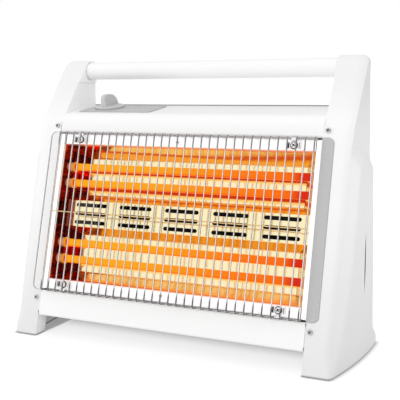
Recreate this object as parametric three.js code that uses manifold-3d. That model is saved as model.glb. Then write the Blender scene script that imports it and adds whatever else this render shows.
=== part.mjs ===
// Portable quartz heater: four glowing tubes in a polished double-trough reflector, behind a
// wire guard, between two moulded cheeks that a carrying handle joins at the top.
// Millimetres, +Z up, +X along the tubes, front towards -Y, origin on the floor under the middle.

import * as THREE from 'three';
import { mergeVertices } from 'three/addons/utils/BufferGeometryUtils.js';
import Module from 'manifold-3d';

const wasm = await Module();
wasm.setup();

const { degToRad, lerp, clamp, smoothstep } = THREE.MathUtils;
const V2 = (x, y) => new THREE.Vector2(x, y);
const V3 = (x, y, z) => new THREE.Vector3(x, y, z);

// Driving dimensions of the whole heater
const height = 396;
const depth = 181;
const bodySpan = 398;
const cheekWidth = 54;
const lean = degToRad(14.4);
const headTopDepth = 22.17;
const kinkShare = 0.76515;
const kinkRound = 8;
const kinkHeight = height * kinkShare;
const clearance = 0.3;
const overrun = 2;
const weld = 1e-4;

// Cheek moulding: reaches are measured outwards from its inner face
const cheekWall = 3.2;
const flatReach = 23;
const flatReachFoot = 31;
const grooveReach = 32.6;
const grooveSpread = 5;
const grooveReachFoot = 35.3;
const grooveReachHead = 1.7;
const grooveDrop = 5;
const grooveDropFoot = 2;
const bandSlope = 1.05;
const bandDepth = 20;
const sideFrontReach = 47.3;
const sideFrontReachFoot = 36;
const sideFrontDrop = 83;
const sideFrontHeight = kinkHeight - sideFrontDrop;
const sideRearReach = 51;
const sideRearReachHigh = 44.4;
const sideBow = 3;
const sideBowFoot = 6.6;
const sideBowHeight = 60;
const headSideReach = 41.8;
const headSideReachTop = 37.2;
const rearFootReach = 10.7;
const footFlareSide = 2;
const footFlareLow = 10;
const footFlareHigh = 30;
const cavityFloor = 32;
const archRoof = 28;
const postDepth = 22;
const sillWidth = 26;
const rearRound = 12;
const headRound = 10.5;
const archPeakDrop = 27;
const archPeakHeight = kinkHeight - archPeakDrop;
const archFrontDrop = 14;
const archFrontHeight = archPeakHeight - archFrontDrop;
const archRearDrop = 27;
const archRearHeight = archPeakHeight - archRearDrop;
const archFootDrop = 36;
const archFootHeight = archPeakHeight - archFootDrop;
const archPeakShare = 0.3;
const archSlope = 0.5;
const edgeBlend = 2.4;
const headCavityDrop = 40;
const headCavityTop = height - headCavityDrop;
const bossDrop = 33;
const bossHeight = height - bossDrop;
const bossRise = 2;
const slitLength = 84;
const slitHeight = kinkHeight / 4 + slitLength * 0.598;
const slitWidth = 9;
const slitCut = 1.6;
const slitPlace = 18;

// Opening of the front, measured along the leaning front plane from its middle
const openingSill = 64.45;
const openingBelowKink = 13.45;
const openingHead = kinkHeight - openingBelowKink;
const openingCentre = (openingSill + openingHead) / 2;
const openingHalf = (openingHead - openingSill) / 2 / Math.cos(lean);
const stripWidth = 14.4;
const stripSheet = 1.2;
const stripRound = 7.8;
const stripRecess = 0.1;

// Panel screws in the cheeks
const screwInset = 6.2;
const frontScrewAbove = 9.2;
const frontScrewHigh = openingHalf + frontScrewAbove;
const frontScrewBelow = 11.5;
const frontScrewLow = openingHalf + frontScrewBelow;
const rearScrewDrop = 18;
const rearScrewHigh = kinkHeight - rearScrewDrop;
const rearScrewLow = 62;
const screwHeadRadius = 3.8;
const screwHeadRise = 2.2;
const screwShankRadius = 1.7;
const screwLength = 11;

// Handle
const handleRadius = 12.8;
const handleWall = 1.8;
const handleDrop = 16;
const handleHeight = height - handleDrop;
const handleBehindBack = 16.3;
const handleSeat = 9;
const collarRadius = 14.2;
const collarRise = 1.2;

// Sheet metal body
const sheet = 1.2;
const sheetBend = 3;
const coverSlope = degToRad(8);
const coverBackRise = 25.5;
const coverBackHeight = kinkHeight + coverBackRise;
const coverBend = 12;
const coverLip = 16;
const returnFlange = 13;
const fasciaBottom = 28.5;
const tabReach = 12;
const tabHalfHeight = 4.2;
const tabSetback = 4.3;
const backSheet = 1;
const backRecess = 0.4;
const basePlateSheet = 1;
const ventLength = 26;
const ventWidth = 4;
const ventPitch = 38;
const ventColumns = 7;
const ventRowPitch = 14;
const ventLow = 92;
const ventHigh = archPeakHeight;
const ventRowHeights = [ventLow, ventLow + ventRowPitch, ventHigh - ventRowPitch, ventHigh];
const baseVentRows = 2;
const baseVentPitch = 34;

// Reflector
const reflectorSheet = 1;
const flangeSetback = 1.6;
const flangeWidth = 16.8;
const troughHalf = openingHalf - flangeWidth;
const troughDepth = 45;
const troughOuterRun = 14;
const bandShare = 0.1952;
const bandHalf = troughHalf * bandShare;
const bandDepthIn = 26;
const bandRun = bandHalf * 0.495;
const reflectorLip = 8.4;
const flangeSeam = 0.8;
const endFlangeWidth = 7.5;
const openingReach = bodySpan / 2 - endFlangeWidth;
const endSeam = 1.1;
const endFlangeInset = 1.6;
const endFlangeHalf = openingHalf - endFlangeInset;
const endSlope = 0.5;
const slotGroups = 5;
const slotRows = 3;
const slotGroupShare = 0.385;
const slotGroupPitch = openingReach * slotGroupShare;
const slotRowPitch = bandHalf * 0.6546;
const slotLength = slotGroupPitch * 0.705;
const slotHeight = 5.6;

// Wire guard
const wireRadius = 1.1;
const wireCount = 33;
const wireEndInset = 7;
const wirePitch = (bodySpan - 2 * wireEndInset) / (wireCount - 1);
const wireStand = 11;
const guardInset = 2.2;
const guardHalf = openingHalf - guardInset;
const guardShoulderRise = 0.4;
const guardShoulder = openingHalf + guardShoulderRise;
const guardBend = 3;
const wireSides = 6;
const weldBite = 0.5;

// Guard clamps and their screws
const clampPlace = 13.5;
const clampWidth = 19;
const clampSheet = 1;
const clampSetIn = 4;
const clampHigh = guardHalf - clampSetIn;
const clampDepth = 9.5;
const clampLow = clampHigh - clampDepth;
const clampFingerGap = 0.5;
const clampFingerWidth = wirePitch - 2 * wireRadius - 2 * clampFingerGap;
const clampEar = 4;
const clampScrewHeight = (clampLow + clampHigh) / 2;
const clampScrewRadius = 3.9;
const clampScrewRise = 2.6;
const clampScrewLength = 8;
const rivetRadius = 2.3;
const rivetRise = 1.2;
const rivetShank = 1.3;
const rivetLength = 4;
const rivetPlace = 0.5;
const headEdge = 0.5;
const headCrown = 0.72;
const recessArm = 0.58;
const recessHalf = 0.14;

// Quartz tubes
const tubeRadius = 5.5;
const tubeWall = 1.1;
const tubeDepth = 22;
const tubeOuterShare = 0.684;
const tubeInnerShare = 0.4427;
const tubeOuter = troughHalf * tubeOuterShare;
const tubeInner = troughHalf * tubeInnerShare;
const tubePlaces = [tubeOuter, tubeInner, -tubeInner, -tubeOuter];
const capRadius = 8.2;
const capSetback = 13.5;
const capInner = openingReach - capSetback;
const capLength = 28;
const capBore = 14;
const coilRadius = 4;
const coilTail = 0.9;
const tailBeyondCap = 2;
const linkSheet = 1;
const linkWidth = 7;

// Control plate, knob and switch
const knobInset = 49;
const knobBehindBack = 36.5;
const plateWidth = 121;
const plateDepth = 59;
const plateSheet = 0.8;
const plateRound = 5;
const plateShift = 25.5;
const plateForward = 5.8;
const knobRadius = 22;
const knobSkirt = 2.6;
const knobDome = 1.6;
const finLength = 37;
const finWidth = 8;
const finRise = 18;
const knobRecessRadius = 11;
const shaftRadius = 2.6;
const shaftReach = 12;
const neckRadius = 4.6;
const switchRadius = 14;
const switchHeight = 22;
const switchBore = 8;
const nutAcross = 15;
const nutHeight = 1.8;

// Wiring and safety parts inside the base
const boxWall = 2;
const tiltWidth = 26;
const tiltDepth = 18;
const tiltHeight = 20;
const tiltInset = 79;
const tiltPlace = bodySpan / 2 - tiltInset;
const blockWidth = 42;
const blockDepth = 16;
const blockHeight = 13;
const blockInset = 59;
const blockPlace = blockInset - bodySpan / 2;
const blockBehind = 26;
const sleeveRadius = 3;
const sleeveBehind = 60;
const inletRadius = 5.5;
const inletBore = 3.4;
const inletFlange = 8;
const inletHeight = 48;
const inletLength = 14;

// Round facets
const fineFacets = 28;
const plainFacets = 14;
const headFacets = 12;
const smallFacets = 8;
const bendFacets = 3;
const slotFacets = 2;
const ventFacets = 1;
const wireBendFacets = 2;

const innerX = bodySpan / 2;
const panelHalf = innerX - clearance;
const frontFoot = -depth / 2;
const bodyBack = depth / 2 - rearFootReach;
const handleY = bodyBack - handleBehindBack;
const kinkFront = frontFoot + kinkHeight * Math.tan(lean);
const headLean = Math.atan2(bodyBack - headTopDepth - kinkFront, height - kinkHeight);

// Geometry helpers
function bareGeometry(positions, indices) {
  const geometry = new THREE.BufferGeometry();
  geometry.setAttribute('position', new THREE.BufferAttribute(positions, 3));
  if (indices) geometry.setIndex(new THREE.BufferAttribute(indices, 1));
  return geometry;
}

// Triangles that still have three corners, turned to face outwards
function soundTriangles(corners, index) {
  const sound = [];
  let volume = 0;
  const at = (i) => V3(corners[3 * i], corners[3 * i + 1], corners[3 * i + 2]);
  for (let i = 0; i < index.length; i += 3) {
    const [a, b, c] = [index[i], index[i + 1], index[i + 2]];
    if (a !== b && b !== c && c !== a) {
      sound.push([a, b, c]);
      volume += at(a).dot(at(b).cross(at(c)));
    }
  }
  const outward = volume > 0 ? sound : sound.map(([a, b, c]) => [a, c, b]);
  return new Uint32Array(outward.flat());
}

function toSolid(geometry) {
  const index = geometry.index ? new Uint32Array(geometry.index.array) : null;
  const positions = new Float32Array(geometry.getAttribute('position').array);
  const merged = mergeVertices(bareGeometry(positions, index), weld);
  const vertProperties = new Float32Array(merged.getAttribute('position').array);
  const triVerts = soundTriangles(vertProperties, merged.index.array);
  return new wasm.Manifold(new wasm.Mesh({ numProp: 3, vertProperties, triVerts }));
}

function toGeometry(solid) {
  const { vertProperties, triVerts } = solid.getMesh();
  const geometry = bareGeometry(vertProperties, triVerts);
  geometry.computeVertexNormals();
  return geometry;
}

function cut(geometry, tools) {
  return toGeometry(tools.reduce((solid, tool) => solid.subtract(toSolid(tool)), toSolid(geometry)));
}

function join(geometries) {
  const [first, ...rest] = geometries.map(toSolid);
  return toGeometry(rest.reduce((solid, other) => solid.add(other), first));
}

function common(a, b) {
  return toGeometry(toSolid(a).intersect(toSolid(b)));
}

function mirrored(geometry) {
  return geometry.clone().scale(-1, 1, 1);
}

function box(x0, x1, y0, y1, z0, z1) {
  const geometry = new THREE.BoxGeometry(x1 - x0, y1 - y0, z1 - z0);
  return geometry.translate((x0 + x1) / 2, (y0 + y1) / 2, (z0 + z1) / 2);
}

// Skin through plan outlines that all have the same number of points
function loft(sections) {
  const count = sections[0].length;
  const middle = (points) => points.reduce((sum, p) => sum.add(p), V3(0, 0, 0)).divideScalar(count);
  const corners = [...sections.flat(), middle(sections[0]), middle(sections.at(-1))];
  const floor = corners.length - 2;
  const last = (sections.length - 1) * count;
  const indices = [];
  for (let i = 0; i < count; i += 1) {
    const next = (i + 1) % count;
    for (let k = 0; k < last; k += count) {
      indices.push(k + i, k + next, k + next + count, k + i, k + next + count, k + i + count);
    }
    indices.push(floor, next, i, floor + 1, last + i, last + next);
  }
  return bareGeometry(new Float32Array(corners.flatMap((p) => [p.x, p.y, p.z])), new Uint32Array(indices));
}

// Shapes drawn as (y, z) and pushed along +X
const alongX = new THREE.Matrix4().makeBasis(V3(0, 1, 0), V3(0, 0, 1), V3(1, 0, 0));
// Shapes drawn as (x, z) and pushed along +Y
const alongY = new THREE.Matrix4().makeBasis(V3(1, 0, 0), V3(0, 0, 1), V3(0, -1, 0));

function pushX(shape, x0, x1, curveSegments = bendFacets) {
  const geometry = new THREE.ExtrudeGeometry(shape, { depth: x1 - x0, bevelEnabled: false, curveSegments });
  return geometry.applyMatrix4(alongX).translate(x0, 0, 0);
}

function pushY(shape, y0, y1, curveSegments = bendFacets) {
  const geometry = new THREE.ExtrudeGeometry(shape, { depth: y1 - y0, bevelEnabled: false, curveSegments });
  return geometry.applyMatrix4(alongY).translate(0, y1, 0);
}

function pushZ(shape, z0, z1, curveSegments = bendFacets) {
  const geometry = new THREE.ExtrudeGeometry(shape, { depth: z1 - z0, bevelEnabled: false, curveSegments });
  return geometry.translate(0, 0, z0);
}

// Round body from (radius, height) points, turned about +Z
function turn(points, facets = plainFacets) {
  return new THREE.LatheGeometry(points.map(([r, z]) => V2(r, z)), facets).rotateX(Math.PI / 2);
}

function turnAlongX(points, facets = plainFacets) {
  return turn(points, facets).rotateY(Math.PI / 2);
}

// Round body whose height points to the front, towards -Y
function turnForward(points, facets = plainFacets) {
  return turn(points, facets).rotateX(Math.PI / 2);
}

function turnBackward(points, facets = plainFacets) {
  return turn(points, facets).rotateX(-Math.PI / 2);
}

function rod(radius, from, to) {
  return [[0, from], [radius, from], [radius, to], [0, to]];
}

function roundedRectangle(x0, x1, y0, y1, radius) {
  const shape = new THREE.Shape();
  shape.moveTo(x0 + radius, y0);
  shape.lineTo(x1 - radius, y0);
  shape.absarc(x1 - radius, y0 + radius, radius, -Math.PI / 2, 0);
  shape.lineTo(x1, y1 - radius);
  shape.absarc(x1 - radius, y1 - radius, radius, 0, Math.PI / 2);
  shape.lineTo(x0 + radius, y1);
  shape.absarc(x0 + radius, y1 - radius, radius, Math.PI / 2, Math.PI);
  shape.lineTo(x0, y0 + radius);
  shape.absarc(x0 + radius, y0 + radius, radius, Math.PI, Math.PI * 1.5);
  return shape;
}

// Slot with round ends, lying along x
function slotPath(target, x, y, length, width) {
  const reach = (length - width) / 2;
  target.moveTo(x - reach, y - width / 2);
  target.lineTo(x + reach, y - width / 2);
  target.absarc(x + reach, y, width / 2, -Math.PI / 2, Math.PI / 2);
  target.lineTo(x - reach, y + width / 2);
  target.absarc(x - reach, y, width / 2, Math.PI / 2, Math.PI * 1.5);
  return target;
}

// Rounds the corners of an open path; radii go with the inner points
function roundedPath(points, radii, facets = bendFacets) {
  const path = [points[0]];
  for (let i = 1; i < points.length - 1; i += 1) {
    const toward = points[i - 1].clone().sub(points[i]).normalize();
    const away = points[i + 1].clone().sub(points[i]).normalize();
    const half = Math.acos(clamp(toward.dot(away), -1, 1)) / 2;
    const radius = radii[i - 1];
    const inward = toward.clone().add(away).normalize();
    const centre = points[i].clone().addScaledVector(inward, radius / Math.sin(half));
    const start = points[i].clone().addScaledVector(toward, radius / Math.tan(half));
    const end = points[i].clone().addScaledVector(away, radius / Math.tan(half));
    const startAngle = start.clone().sub(centre).angle();
    const turnBy = THREE.MathUtils.euclideanModulo(end.clone().sub(centre).angle() - startAngle + Math.PI,
      2 * Math.PI) - Math.PI;
    for (let k = 0; k <= facets; k += 1) {
      const angle = startAngle + (turnBy * k) / facets;
      path.push(V2(centre.x + radius * Math.cos(angle), centre.y + radius * Math.sin(angle)));
    }
  }
  path.push(points.at(-1));
  return path;
}

// Closed outline of a bent sheet: the path and its copy at the given thickness to its left
function sheetOutline(path, thickness) {
  const leftOf = (a, b) => V2(a.y - b.y, b.x - a.x).normalize();
  const copy = path.map((point, i) => {
    const before = i > 0 ? leftOf(path[i - 1], point) : leftOf(point, path[i + 1]);
    const after = i < path.length - 1 ? leftOf(point, path[i + 1]) : before;
    const mitre = before.clone().add(after).normalize();
    return point.clone().addScaledVector(mitre, thickness / mitre.dot(before));
  });
  return new THREE.Shape([...path, ...copy.reverse()]);
}

// Path that an extrusion follows from one given point to the next
class PolyPath extends THREE.Curve {
  constructor(points) {
    super();
    this.points = points;
  }

  get steps() {
    return this.points.length - 1;
  }

  getPoint(t, target = V3(0, 0, 0)) {
    const place = clamp(t * this.steps, 0, this.steps);
    const i = Math.min(Math.floor(place), this.steps - 1);
    return target.lerpVectors(this.points[i], this.points[i + 1], place - i);
  }

  getPointAt(u, target) {
    return this.getPoint(u, target);
  }

  getTangent(t, target = V3(0, 0, 0)) {
    const i = Math.round(clamp(t, 0, 1) * this.steps);
    const before = this.points[Math.max(i - 1, 0)];
    const after = this.points[Math.min(i + 1, this.steps)];
    return target.subVectors(after, before).normalize();
  }

  getTangentAt(u, target) {
    return this.getTangent(u, target);
  }
}

function wireAlong(points, radius, sides) {
  const section = new THREE.Shape();
  for (let i = 0; i < sides; i += 1) {
    const angle = (2 * Math.PI * i) / sides;
    const x = radius * Math.cos(angle);
    const y = radius * Math.sin(angle);
    if (i === 0) section.moveTo(x, y);
    else section.lineTo(x, y);
  }
  const extrudePath = new PolyPath(points);
  return new THREE.ExtrudeGeometry(section, { steps: extrudePath.steps, bevelEnabled: false, extrudePath });
}

// Side view of the heater: the front leans back, then leans more above the kink
function frontLine(z) {
  const change = Math.tan(headLean) - Math.tan(lean);
  const start = kinkHeight - kinkRound;
  const bend = clamp(z - start, 0, 2 * kinkRound);
  const beyond = Math.max(z - start - 2 * kinkRound, 0);
  return frontFoot + z * Math.tan(lean) + change * (bend ** 2 / (4 * kinkRound) + beyond);
}

function footFlare(z) {
  return 1 - smoothstep(z, footFlareLow, footFlareHigh);
}

function backLine(z) {
  return bodyBack + rearFootReach * footFlare(z);
}

// Place on the leaning front plane: in is square to the plane, up is along it
const planeMiddle = V2(frontFoot + openingCentre * Math.tan(lean), openingCentre);
function onPlane(into, up) {
  return V2(
    planeMiddle.x + up * Math.sin(lean) + into * Math.cos(lean),
    planeMiddle.y + up * Math.cos(lean) - into * Math.sin(lean),
  );
}

// Outer surface of a cheek
function grooveAt(z) {
  const body = grooveReach + (grooveSpread * z) / height;
  const head = grooveReachHead * smoothstep(z, archPeakHeight - footFlareLow, kinkHeight - kinkRound);
  return lerp(body + head, grooveReachFoot, footFlare(z));
}

function grooveDropAt(z) {
  return lerp(grooveDrop, grooveDropFoot, footFlare(z));
}

function archAt(share) {
  if (share < archPeakShare) {
    return lerp(archPeakHeight, archFrontHeight, ((archPeakShare - share) / archPeakShare) ** 2);
  }
  return lerp(archPeakHeight, archRearHeight, ((share - archPeakShare) / (1 - archPeakShare)) ** 1.8);
}

// Smaller of two values, blended where they come within the given reach of each other
function softMin(a, b, reach) {
  const near = Math.max(reach - Math.abs(a - b), 0) / reach;
  return Math.min(a, b) - (near ** 2 * reach) / 4;
}

function sideReach(y, z) {
  const share = clamp((y - frontLine(z)) / (backLine(z) - frontLine(z)), 0, 1);
  const headShare = clamp((z - archFootHeight) / (height - archFootHeight), 0, 1);
  const head = lerp(grooveAt(z), lerp(headSideReach, headSideReachTop, headShare), share);
  const low = (1 - clamp(z / sideFrontHeight, 0, 1)) ** 2.7;
  const sideFront = lerp(sideFrontReach, sideFrontReachFoot, low);
  const high = clamp(z / archFootHeight, 0, 1) ** 1.35;
  const sideRear = lerp(sideRearReach, sideRearReachHigh, high) + footFlareSide * footFlare(z);
  const bow = lerp(sideBowFoot, sideBow, smoothstep(z, 0, sideBowHeight));
  const side = lerp(sideFront, sideRear, share) + 4 * bow * share * (1 - share);
  const band = grooveAt(z) + (y - frontLine(z) - grooveDropAt(z)) * bandSlope;
  const arch = head + (archAt(share) - z) * archSlope;
  return -softMin(-head, -softMin(softMin(side, band, edgeBlend), arch, edgeBlend), edgeBlend / 2);
}

const roundEnd = 0.985;
function topInset(z) {
  const into = clamp(z - (height - headRound), 0, headRound) * roundEnd;
  return headRound - Math.sqrt(headRound ** 2 - into ** 2);
}

const bandShares = [0.3, 0.65, 1];
const sideShares = [0.12, 0.28, 0.46, 0.64, 0.82];
const cornerAngles = [0, 22.5, 45, 67.5, 90].map(degToRad);
const bandPart = 0.4;
const roundPart = 0.3;

// Plan outline of a cheek at height z, drawn in from its surface by inset
function cheekSection(z, inset, inner) {
  const drawn = inset + topInset(z);
  const shift = inset + topInset(z) / 2;
  const front = frontLine(z) + shift;
  const back = backLine(z) - shift;
  const drop = grooveDropAt(z);
  const flat = lerp(flatReach, flatReachFoot, footFlare(z)) - drawn;
  const groove = grooveAt(z) - drawn;
  const points = [[inner, front], [flat, front]];
  points.push([lerp(flat, groove, 0.6), front + drop * 0.3]);
  points.push([groove, front + drop]);
  const band = Math.min(bandDepth, (back - front) * bandPart);
  bandShares.forEach((share) => {
    const into = lerp(drop, band, share);
    points.push([sideReach(frontLine(z) + into, z) - drawn, front + into]);
  });
  const round = Math.min(rearRound - inset, (back - front) * roundPart);
  const corner = back - round;
  sideShares.forEach((share) => {
    const y = lerp(front + band, corner, share);
    points.push([sideReach(y, z) - drawn, y]);
  });
  const rear = sideReach(corner, z) - drawn;
  cornerAngles.forEach((angle) => {
    points.push([rear - round * (1 - Math.cos(angle)), corner + round * Math.sin(angle)]);
  });
  points.push([inner, back]);
  return points.map(([x, y]) => V3(innerX + x, y, z));
}

const flareShares = [0, 0.35, 0.7, 1];
const lowerShares = [0.2, 0.45, 0.72];
const archShares = [0, 0.14, 0.28, 0.42, 0.56, 0.7, 0.84, 1];
const kinkShares = [-1, 0, 1];
const roundShares = [0, 0.5, 0.8, 1];
const roundHeights = roundShares.map((share) => lerp(height - headRound, height, share));

function cheekHeights() {
  const heights = [0];
  flareShares.forEach((share) => heights.push(lerp(footFlareLow, footFlareHigh, share)));
  lowerShares.forEach((share) => heights.push(lerp(footFlareHigh, archFootHeight, share)));
  archShares.forEach((share) => heights.push(lerp(archFootHeight, archPeakHeight, share)));
  kinkShares.forEach((share) => heights.push(kinkHeight + kinkRound * share));
  return [...heights, ...roundHeights];
}

function cheekCavity() {
  const roof = kinkHeight + overrun;
  const kinkStart = kinkHeight - kinkRound;
  const bodyHeights = [cavityFloor, archFootHeight / 2, archFootHeight, archPeakHeight, kinkStart, roof];
  const body = loft(bodyHeights.map((z) => cheekSection(z, cheekWall, -overrun)));
  const headHeights = [kinkStart, kinkHeight + kinkRound, headCavityTop];
  const head = loft(headHeights.map((z) => cheekSection(z, cheekWall, cheekWall)));
  return join([body, head]);
}

// Raised pad round the handle's end, on the inner face of the head
function headPad() {
  return loft([bossHeight, ...roundHeights].map((z) => {
    const front = frontLine(z) + topInset(z) / 2;
    const back = backLine(z) - topInset(z) / 2;
    const low = innerX - bossRise;
    const high = innerX + overrun;
    return [V3(low, front, z), V3(high, front, z), V3(high, back, z), V3(low, back, z)];
  }));
}

// Space between the posts of the foot, open to the floor and to the middle of the heater
function footArch() {
  const archSection = (z) => {
    const front = frontLine(z) + postDepth;
    const back = bodyBack - postDepth;
    const points = [V3(innerX - overrun, front, z)];
    [0, ...sideShares, 1].forEach((share) => {
      const y = lerp(front, back, share);
      points.push(V3(innerX + sideReach(y, 0) - sillWidth, y, z));
    });
    points.push(V3(innerX - overrun, back, z));
    return points;
  };
  return loft([archSection(-overrun), archSection(archRoof)]);
}

// Almond-shaped finger slit in the side
function sideSlit() {
  const shape = new THREE.Shape();
  shape.moveTo(slitPlace, slitHeight - slitLength / 2);
  shape.quadraticCurveTo(slitPlace + slitWidth, slitHeight, slitPlace, slitHeight + slitLength / 2);
  shape.quadraticCurveTo(slitPlace - slitWidth, slitHeight, slitPlace, slitHeight - slitLength / 2);
  const reach = innerX + sideReach(slitPlace, slitHeight);
  return pushX(shape, reach - slitCut, reach + cheekWidth, smallFacets / 2);
}

function rightCheek() {
  const skin = loft(cheekHeights().map((z) => cheekSection(z, 0, 0)));
  const socketEnd = innerX - bossRise - collarRise;
  const collar = turnAlongX([[0, socketEnd], [collarRadius, socketEnd], [collarRadius, innerX], [0, innerX]],
    fineFacets).translate(0, handleY, handleHeight);
  const socketRadius = handleRadius + clearance;
  const socket = turnAlongX([
    [0, socketEnd - overrun],
    [socketRadius, socketEnd - overrun],
    [socketRadius, innerX + handleSeat + clearance],
    [0, innerX + handleSeat + clearance],
  ], fineFacets).translate(0, handleY, handleHeight);

  const notchHalf = openingHalf + clearance;
  const notchReach = innerX + stripWidth - clearance;
  const notchRound = stripRound + clearance;
  const notchShape = roundedRectangle(innerX - cheekWidth, notchReach, -notchHalf, notchHalf, notchRound);
  const notch = placeOnPlane(pushY(notchShape, -cheekWidth / 2, stripRecess + stripSheet + clearance));

  const hole = turnForward(rod(screwShankRadius + clearance, -screwLength, screwLength), smallFacets);
  hole.translate(innerX + screwInset, 0, 0);
  const frontHoles = [frontScrewHigh, -frontScrewLow].map((up) => hole.clone().translate(0, 0, up));
  const rearHoles = [rearScrewHigh, rearScrewLow].map((z) => hole.clone().translate(0, bodyBack, z));
  const holes = [...frontHoles.map(placeOnPlane), ...rearHoles];
  const hollows = [cheekCavity(), footArch(), socket, notch, sideSlit()];
  return cut(join([skin, headPad(), collar]), [...hollows, ...holes]);
}

// Moves geometry drawn as (x, into, up) onto the leaning front plane
function placeOnPlane(geometry) {
  return geometry.rotateX(-lean).translate(0, planeMiddle.x, planeMiddle.y);
}

// Handle
function handleTube() {
  const end = innerX + handleSeat;
  const bore = handleRadius - handleWall;
  return turnAlongX([
    [bore, -end], [handleRadius, -end], [handleRadius, end], [bore, end], [bore, -end],
  ], fineFacets);
}

// Tabs of a sheet part, behind the front walls of the cheeks
function sideTabs(up, setback, webDepth) {
  const inner = panelHalf - sheet;
  const outer = innerX + tabReach;
  const tab = box(inner, outer, setback, setback + sheet, up - tabHalfHeight, up + tabHalfHeight);
  const web = box(inner, panelHalf, webDepth, setback + sheet, up - tabHalfHeight, up + tabHalfHeight);
  const right = join([tab, web]);
  return [right, mirrored(right)];
}

function tabHole(up) {
  const hole = turnForward(rod(screwShankRadius + clearance, -screwLength, screwLength), smallFacets);
  return hole.translate(innerX + screwInset, 0, up);
}

// Top and upper front in one bent sheet
function coverTop(y) {
  return coverBackHeight - (bodyBack - y) * Math.tan(coverSlope);
}

function coverCorner() {
  const rise = coverBackHeight - (bodyBack - frontFoot) * Math.tan(coverSlope);
  const z = rise / (1 - Math.tan(lean) * Math.tan(coverSlope));
  return V2(frontFoot + z * Math.tan(lean), z);
}

function topCover() {
  const path = roundedPath([
    onPlane(returnFlange, openingHalf),
    onPlane(0, openingHalf),
    coverCorner(),
    V2(bodyBack, coverBackHeight),
    V2(bodyBack, coverBackHeight - coverLip),
  ], [sheetBend, coverBend, sheetBend]);
  const outline = sheetOutline(path.reverse(), sheet);
  const skin = pushX(outline, -panelHalf, panelHalf);
  const tabs = sideTabs(frontScrewHigh, tabSetback, sheet / 2).map(placeOnPlane);
  const hole = tabHole(frontScrewHigh);
  const holes = [hole, mirrored(hole)].map(placeOnPlane);
  return cut(join([skin, ...tabs]), [...holes, neckHole().applyMatrix4(knobFrame)]);
}

function lowerFascia() {
  const foot = frontLine(fasciaBottom);
  const path = roundedPath([
    V2(foot + returnFlange, fasciaBottom),
    V2(foot, fasciaBottom),
    onPlane(0, -openingHalf),
    onPlane(returnFlange, -openingHalf),
  ], [sheetBend, sheetBend]);
  const skin = pushX(sheetOutline(path.reverse(), sheet), -panelHalf, panelHalf);
  const setback = cheekWall * Math.cos(lean) + clearance;
  const tabs = sideTabs(-frontScrewLow, setback, sheet / 2).map(placeOnPlane);
  const hole = tabHole(-frontScrewLow);
  const holes = [hole, mirrored(hole)].map(placeOnPlane);
  return cut(join([skin, ...tabs]), holes);
}

// Rear wall with vent slots and the hole for the supply cord's bush
const backFace = bodyBack - backRecess;
const backTop = coverBackHeight - coverLip - clearance;
const backBottom = fasciaBottom;

function backPanel() {
  const wall = new THREE.Shape();
  wall.moveTo(-panelHalf, backBottom);
  wall.lineTo(panelHalf, backBottom);
  wall.lineTo(panelHalf, backTop);
  wall.lineTo(-panelHalf, backTop);
  ventRowHeights.forEach((z) => {
    for (let i = 0; i < ventColumns; i += 1) {
      const x = (i - (ventColumns - 1) / 2) * ventPitch;
      wall.holes.push(slotPath(new THREE.Path(), x, z, ventLength, ventWidth));
    }
  });
  const skin = pushY(wall, backFace - backSheet, backFace, ventFacets);
  const flangeFront = backFace - returnFlange;
  const flange = box(-panelHalf, panelHalf, flangeFront, backFace, backBottom, backBottom + backSheet);
  const tabBack = bodyBack - cheekWall - clearance;
  const inner = panelHalf - sheet;
  const parts = [skin, flange];
  [rearScrewHigh, rearScrewLow].forEach((z) => {
    const low = z - tabHalfHeight;
    const high = z + tabHalfHeight;
    const tab = box(inner, innerX + tabReach, tabBack - backSheet, tabBack, low, high);
    const web = box(inner, panelHalf, tabBack - backSheet, backFace - backSheet / 2, low, high);
    const right = join([tab, web]);
    parts.push(right, mirrored(right));
  });
  const inlet = turnBackward(rod(inletRadius + clearance, -inletLength, inletLength));
  const holes = [inlet.translate(blockPlace, backFace, inletHeight)];
  [rearScrewHigh, rearScrewLow].forEach((z) => {
    const hole = turnForward(rod(screwShankRadius + clearance, -screwLength, screwLength), smallFacets);
    hole.translate(innerX + screwInset, tabBack, z);
    holes.push(hole, mirrored(hole));
  });
  return cut(join(parts), holes);
}

// Bottom plate on the flanges of the fascia and the rear wall
const basePlateLow = fasciaBottom + sheet + clearance;
const basePlateTop = basePlateLow + basePlateSheet;

function basePlate() {
  const front = frontLine(basePlateTop) + 2 * sheet + sheetBend;
  const back = backFace - backSheet - clearance;
  const half = panelHalf - overrun;
  const plate = new THREE.Shape();
  plate.moveTo(-half, front);
  plate.lineTo(half, front);
  plate.lineTo(half, back);
  plate.lineTo(-half, back);
  for (let row = 0; row < baseVentRows; row += 1) {
    for (let i = 0; i < ventColumns; i += 1) {
      const x = (i - (ventColumns - 1) / 2) * ventPitch;
      const y = lerp(front, back, 1 / 4) + row * baseVentPitch / 2;
      plate.holes.push(slotPath(new THREE.Path(), x, y, ventLength, ventWidth));
    }
  }
  return pushZ(plate, basePlateLow, basePlateTop, ventFacets);
}

// Side strips in the notches of the cheeks
function sideStrip() {
  const outer = innerX + stripWidth - 2 * clearance;
  const inner = innerX - 2 * clearance;
  const half = openingHalf - clearance;
  const shape = new THREE.Shape();
  shape.moveTo(inner, -half);
  shape.lineTo(outer - stripRound, -half);
  shape.absarc(outer - stripRound, -half + stripRound, stripRound, -Math.PI / 2, 0);
  shape.lineTo(outer, half - stripRound);
  shape.absarc(outer - stripRound, half - stripRound, stripRound, 0, Math.PI / 2);
  shape.lineTo(inner, half);
  return pushY(shape, stripRecess, stripRecess + stripSheet);
}

// Front surface of the reflector as (into, up) points, from the top lip to the bottom lip
const flangeOuter = openingHalf - flangeSeam;
const troughOuter = troughHalf - troughOuterRun;
const troughInner = bandHalf + bandRun;

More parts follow.
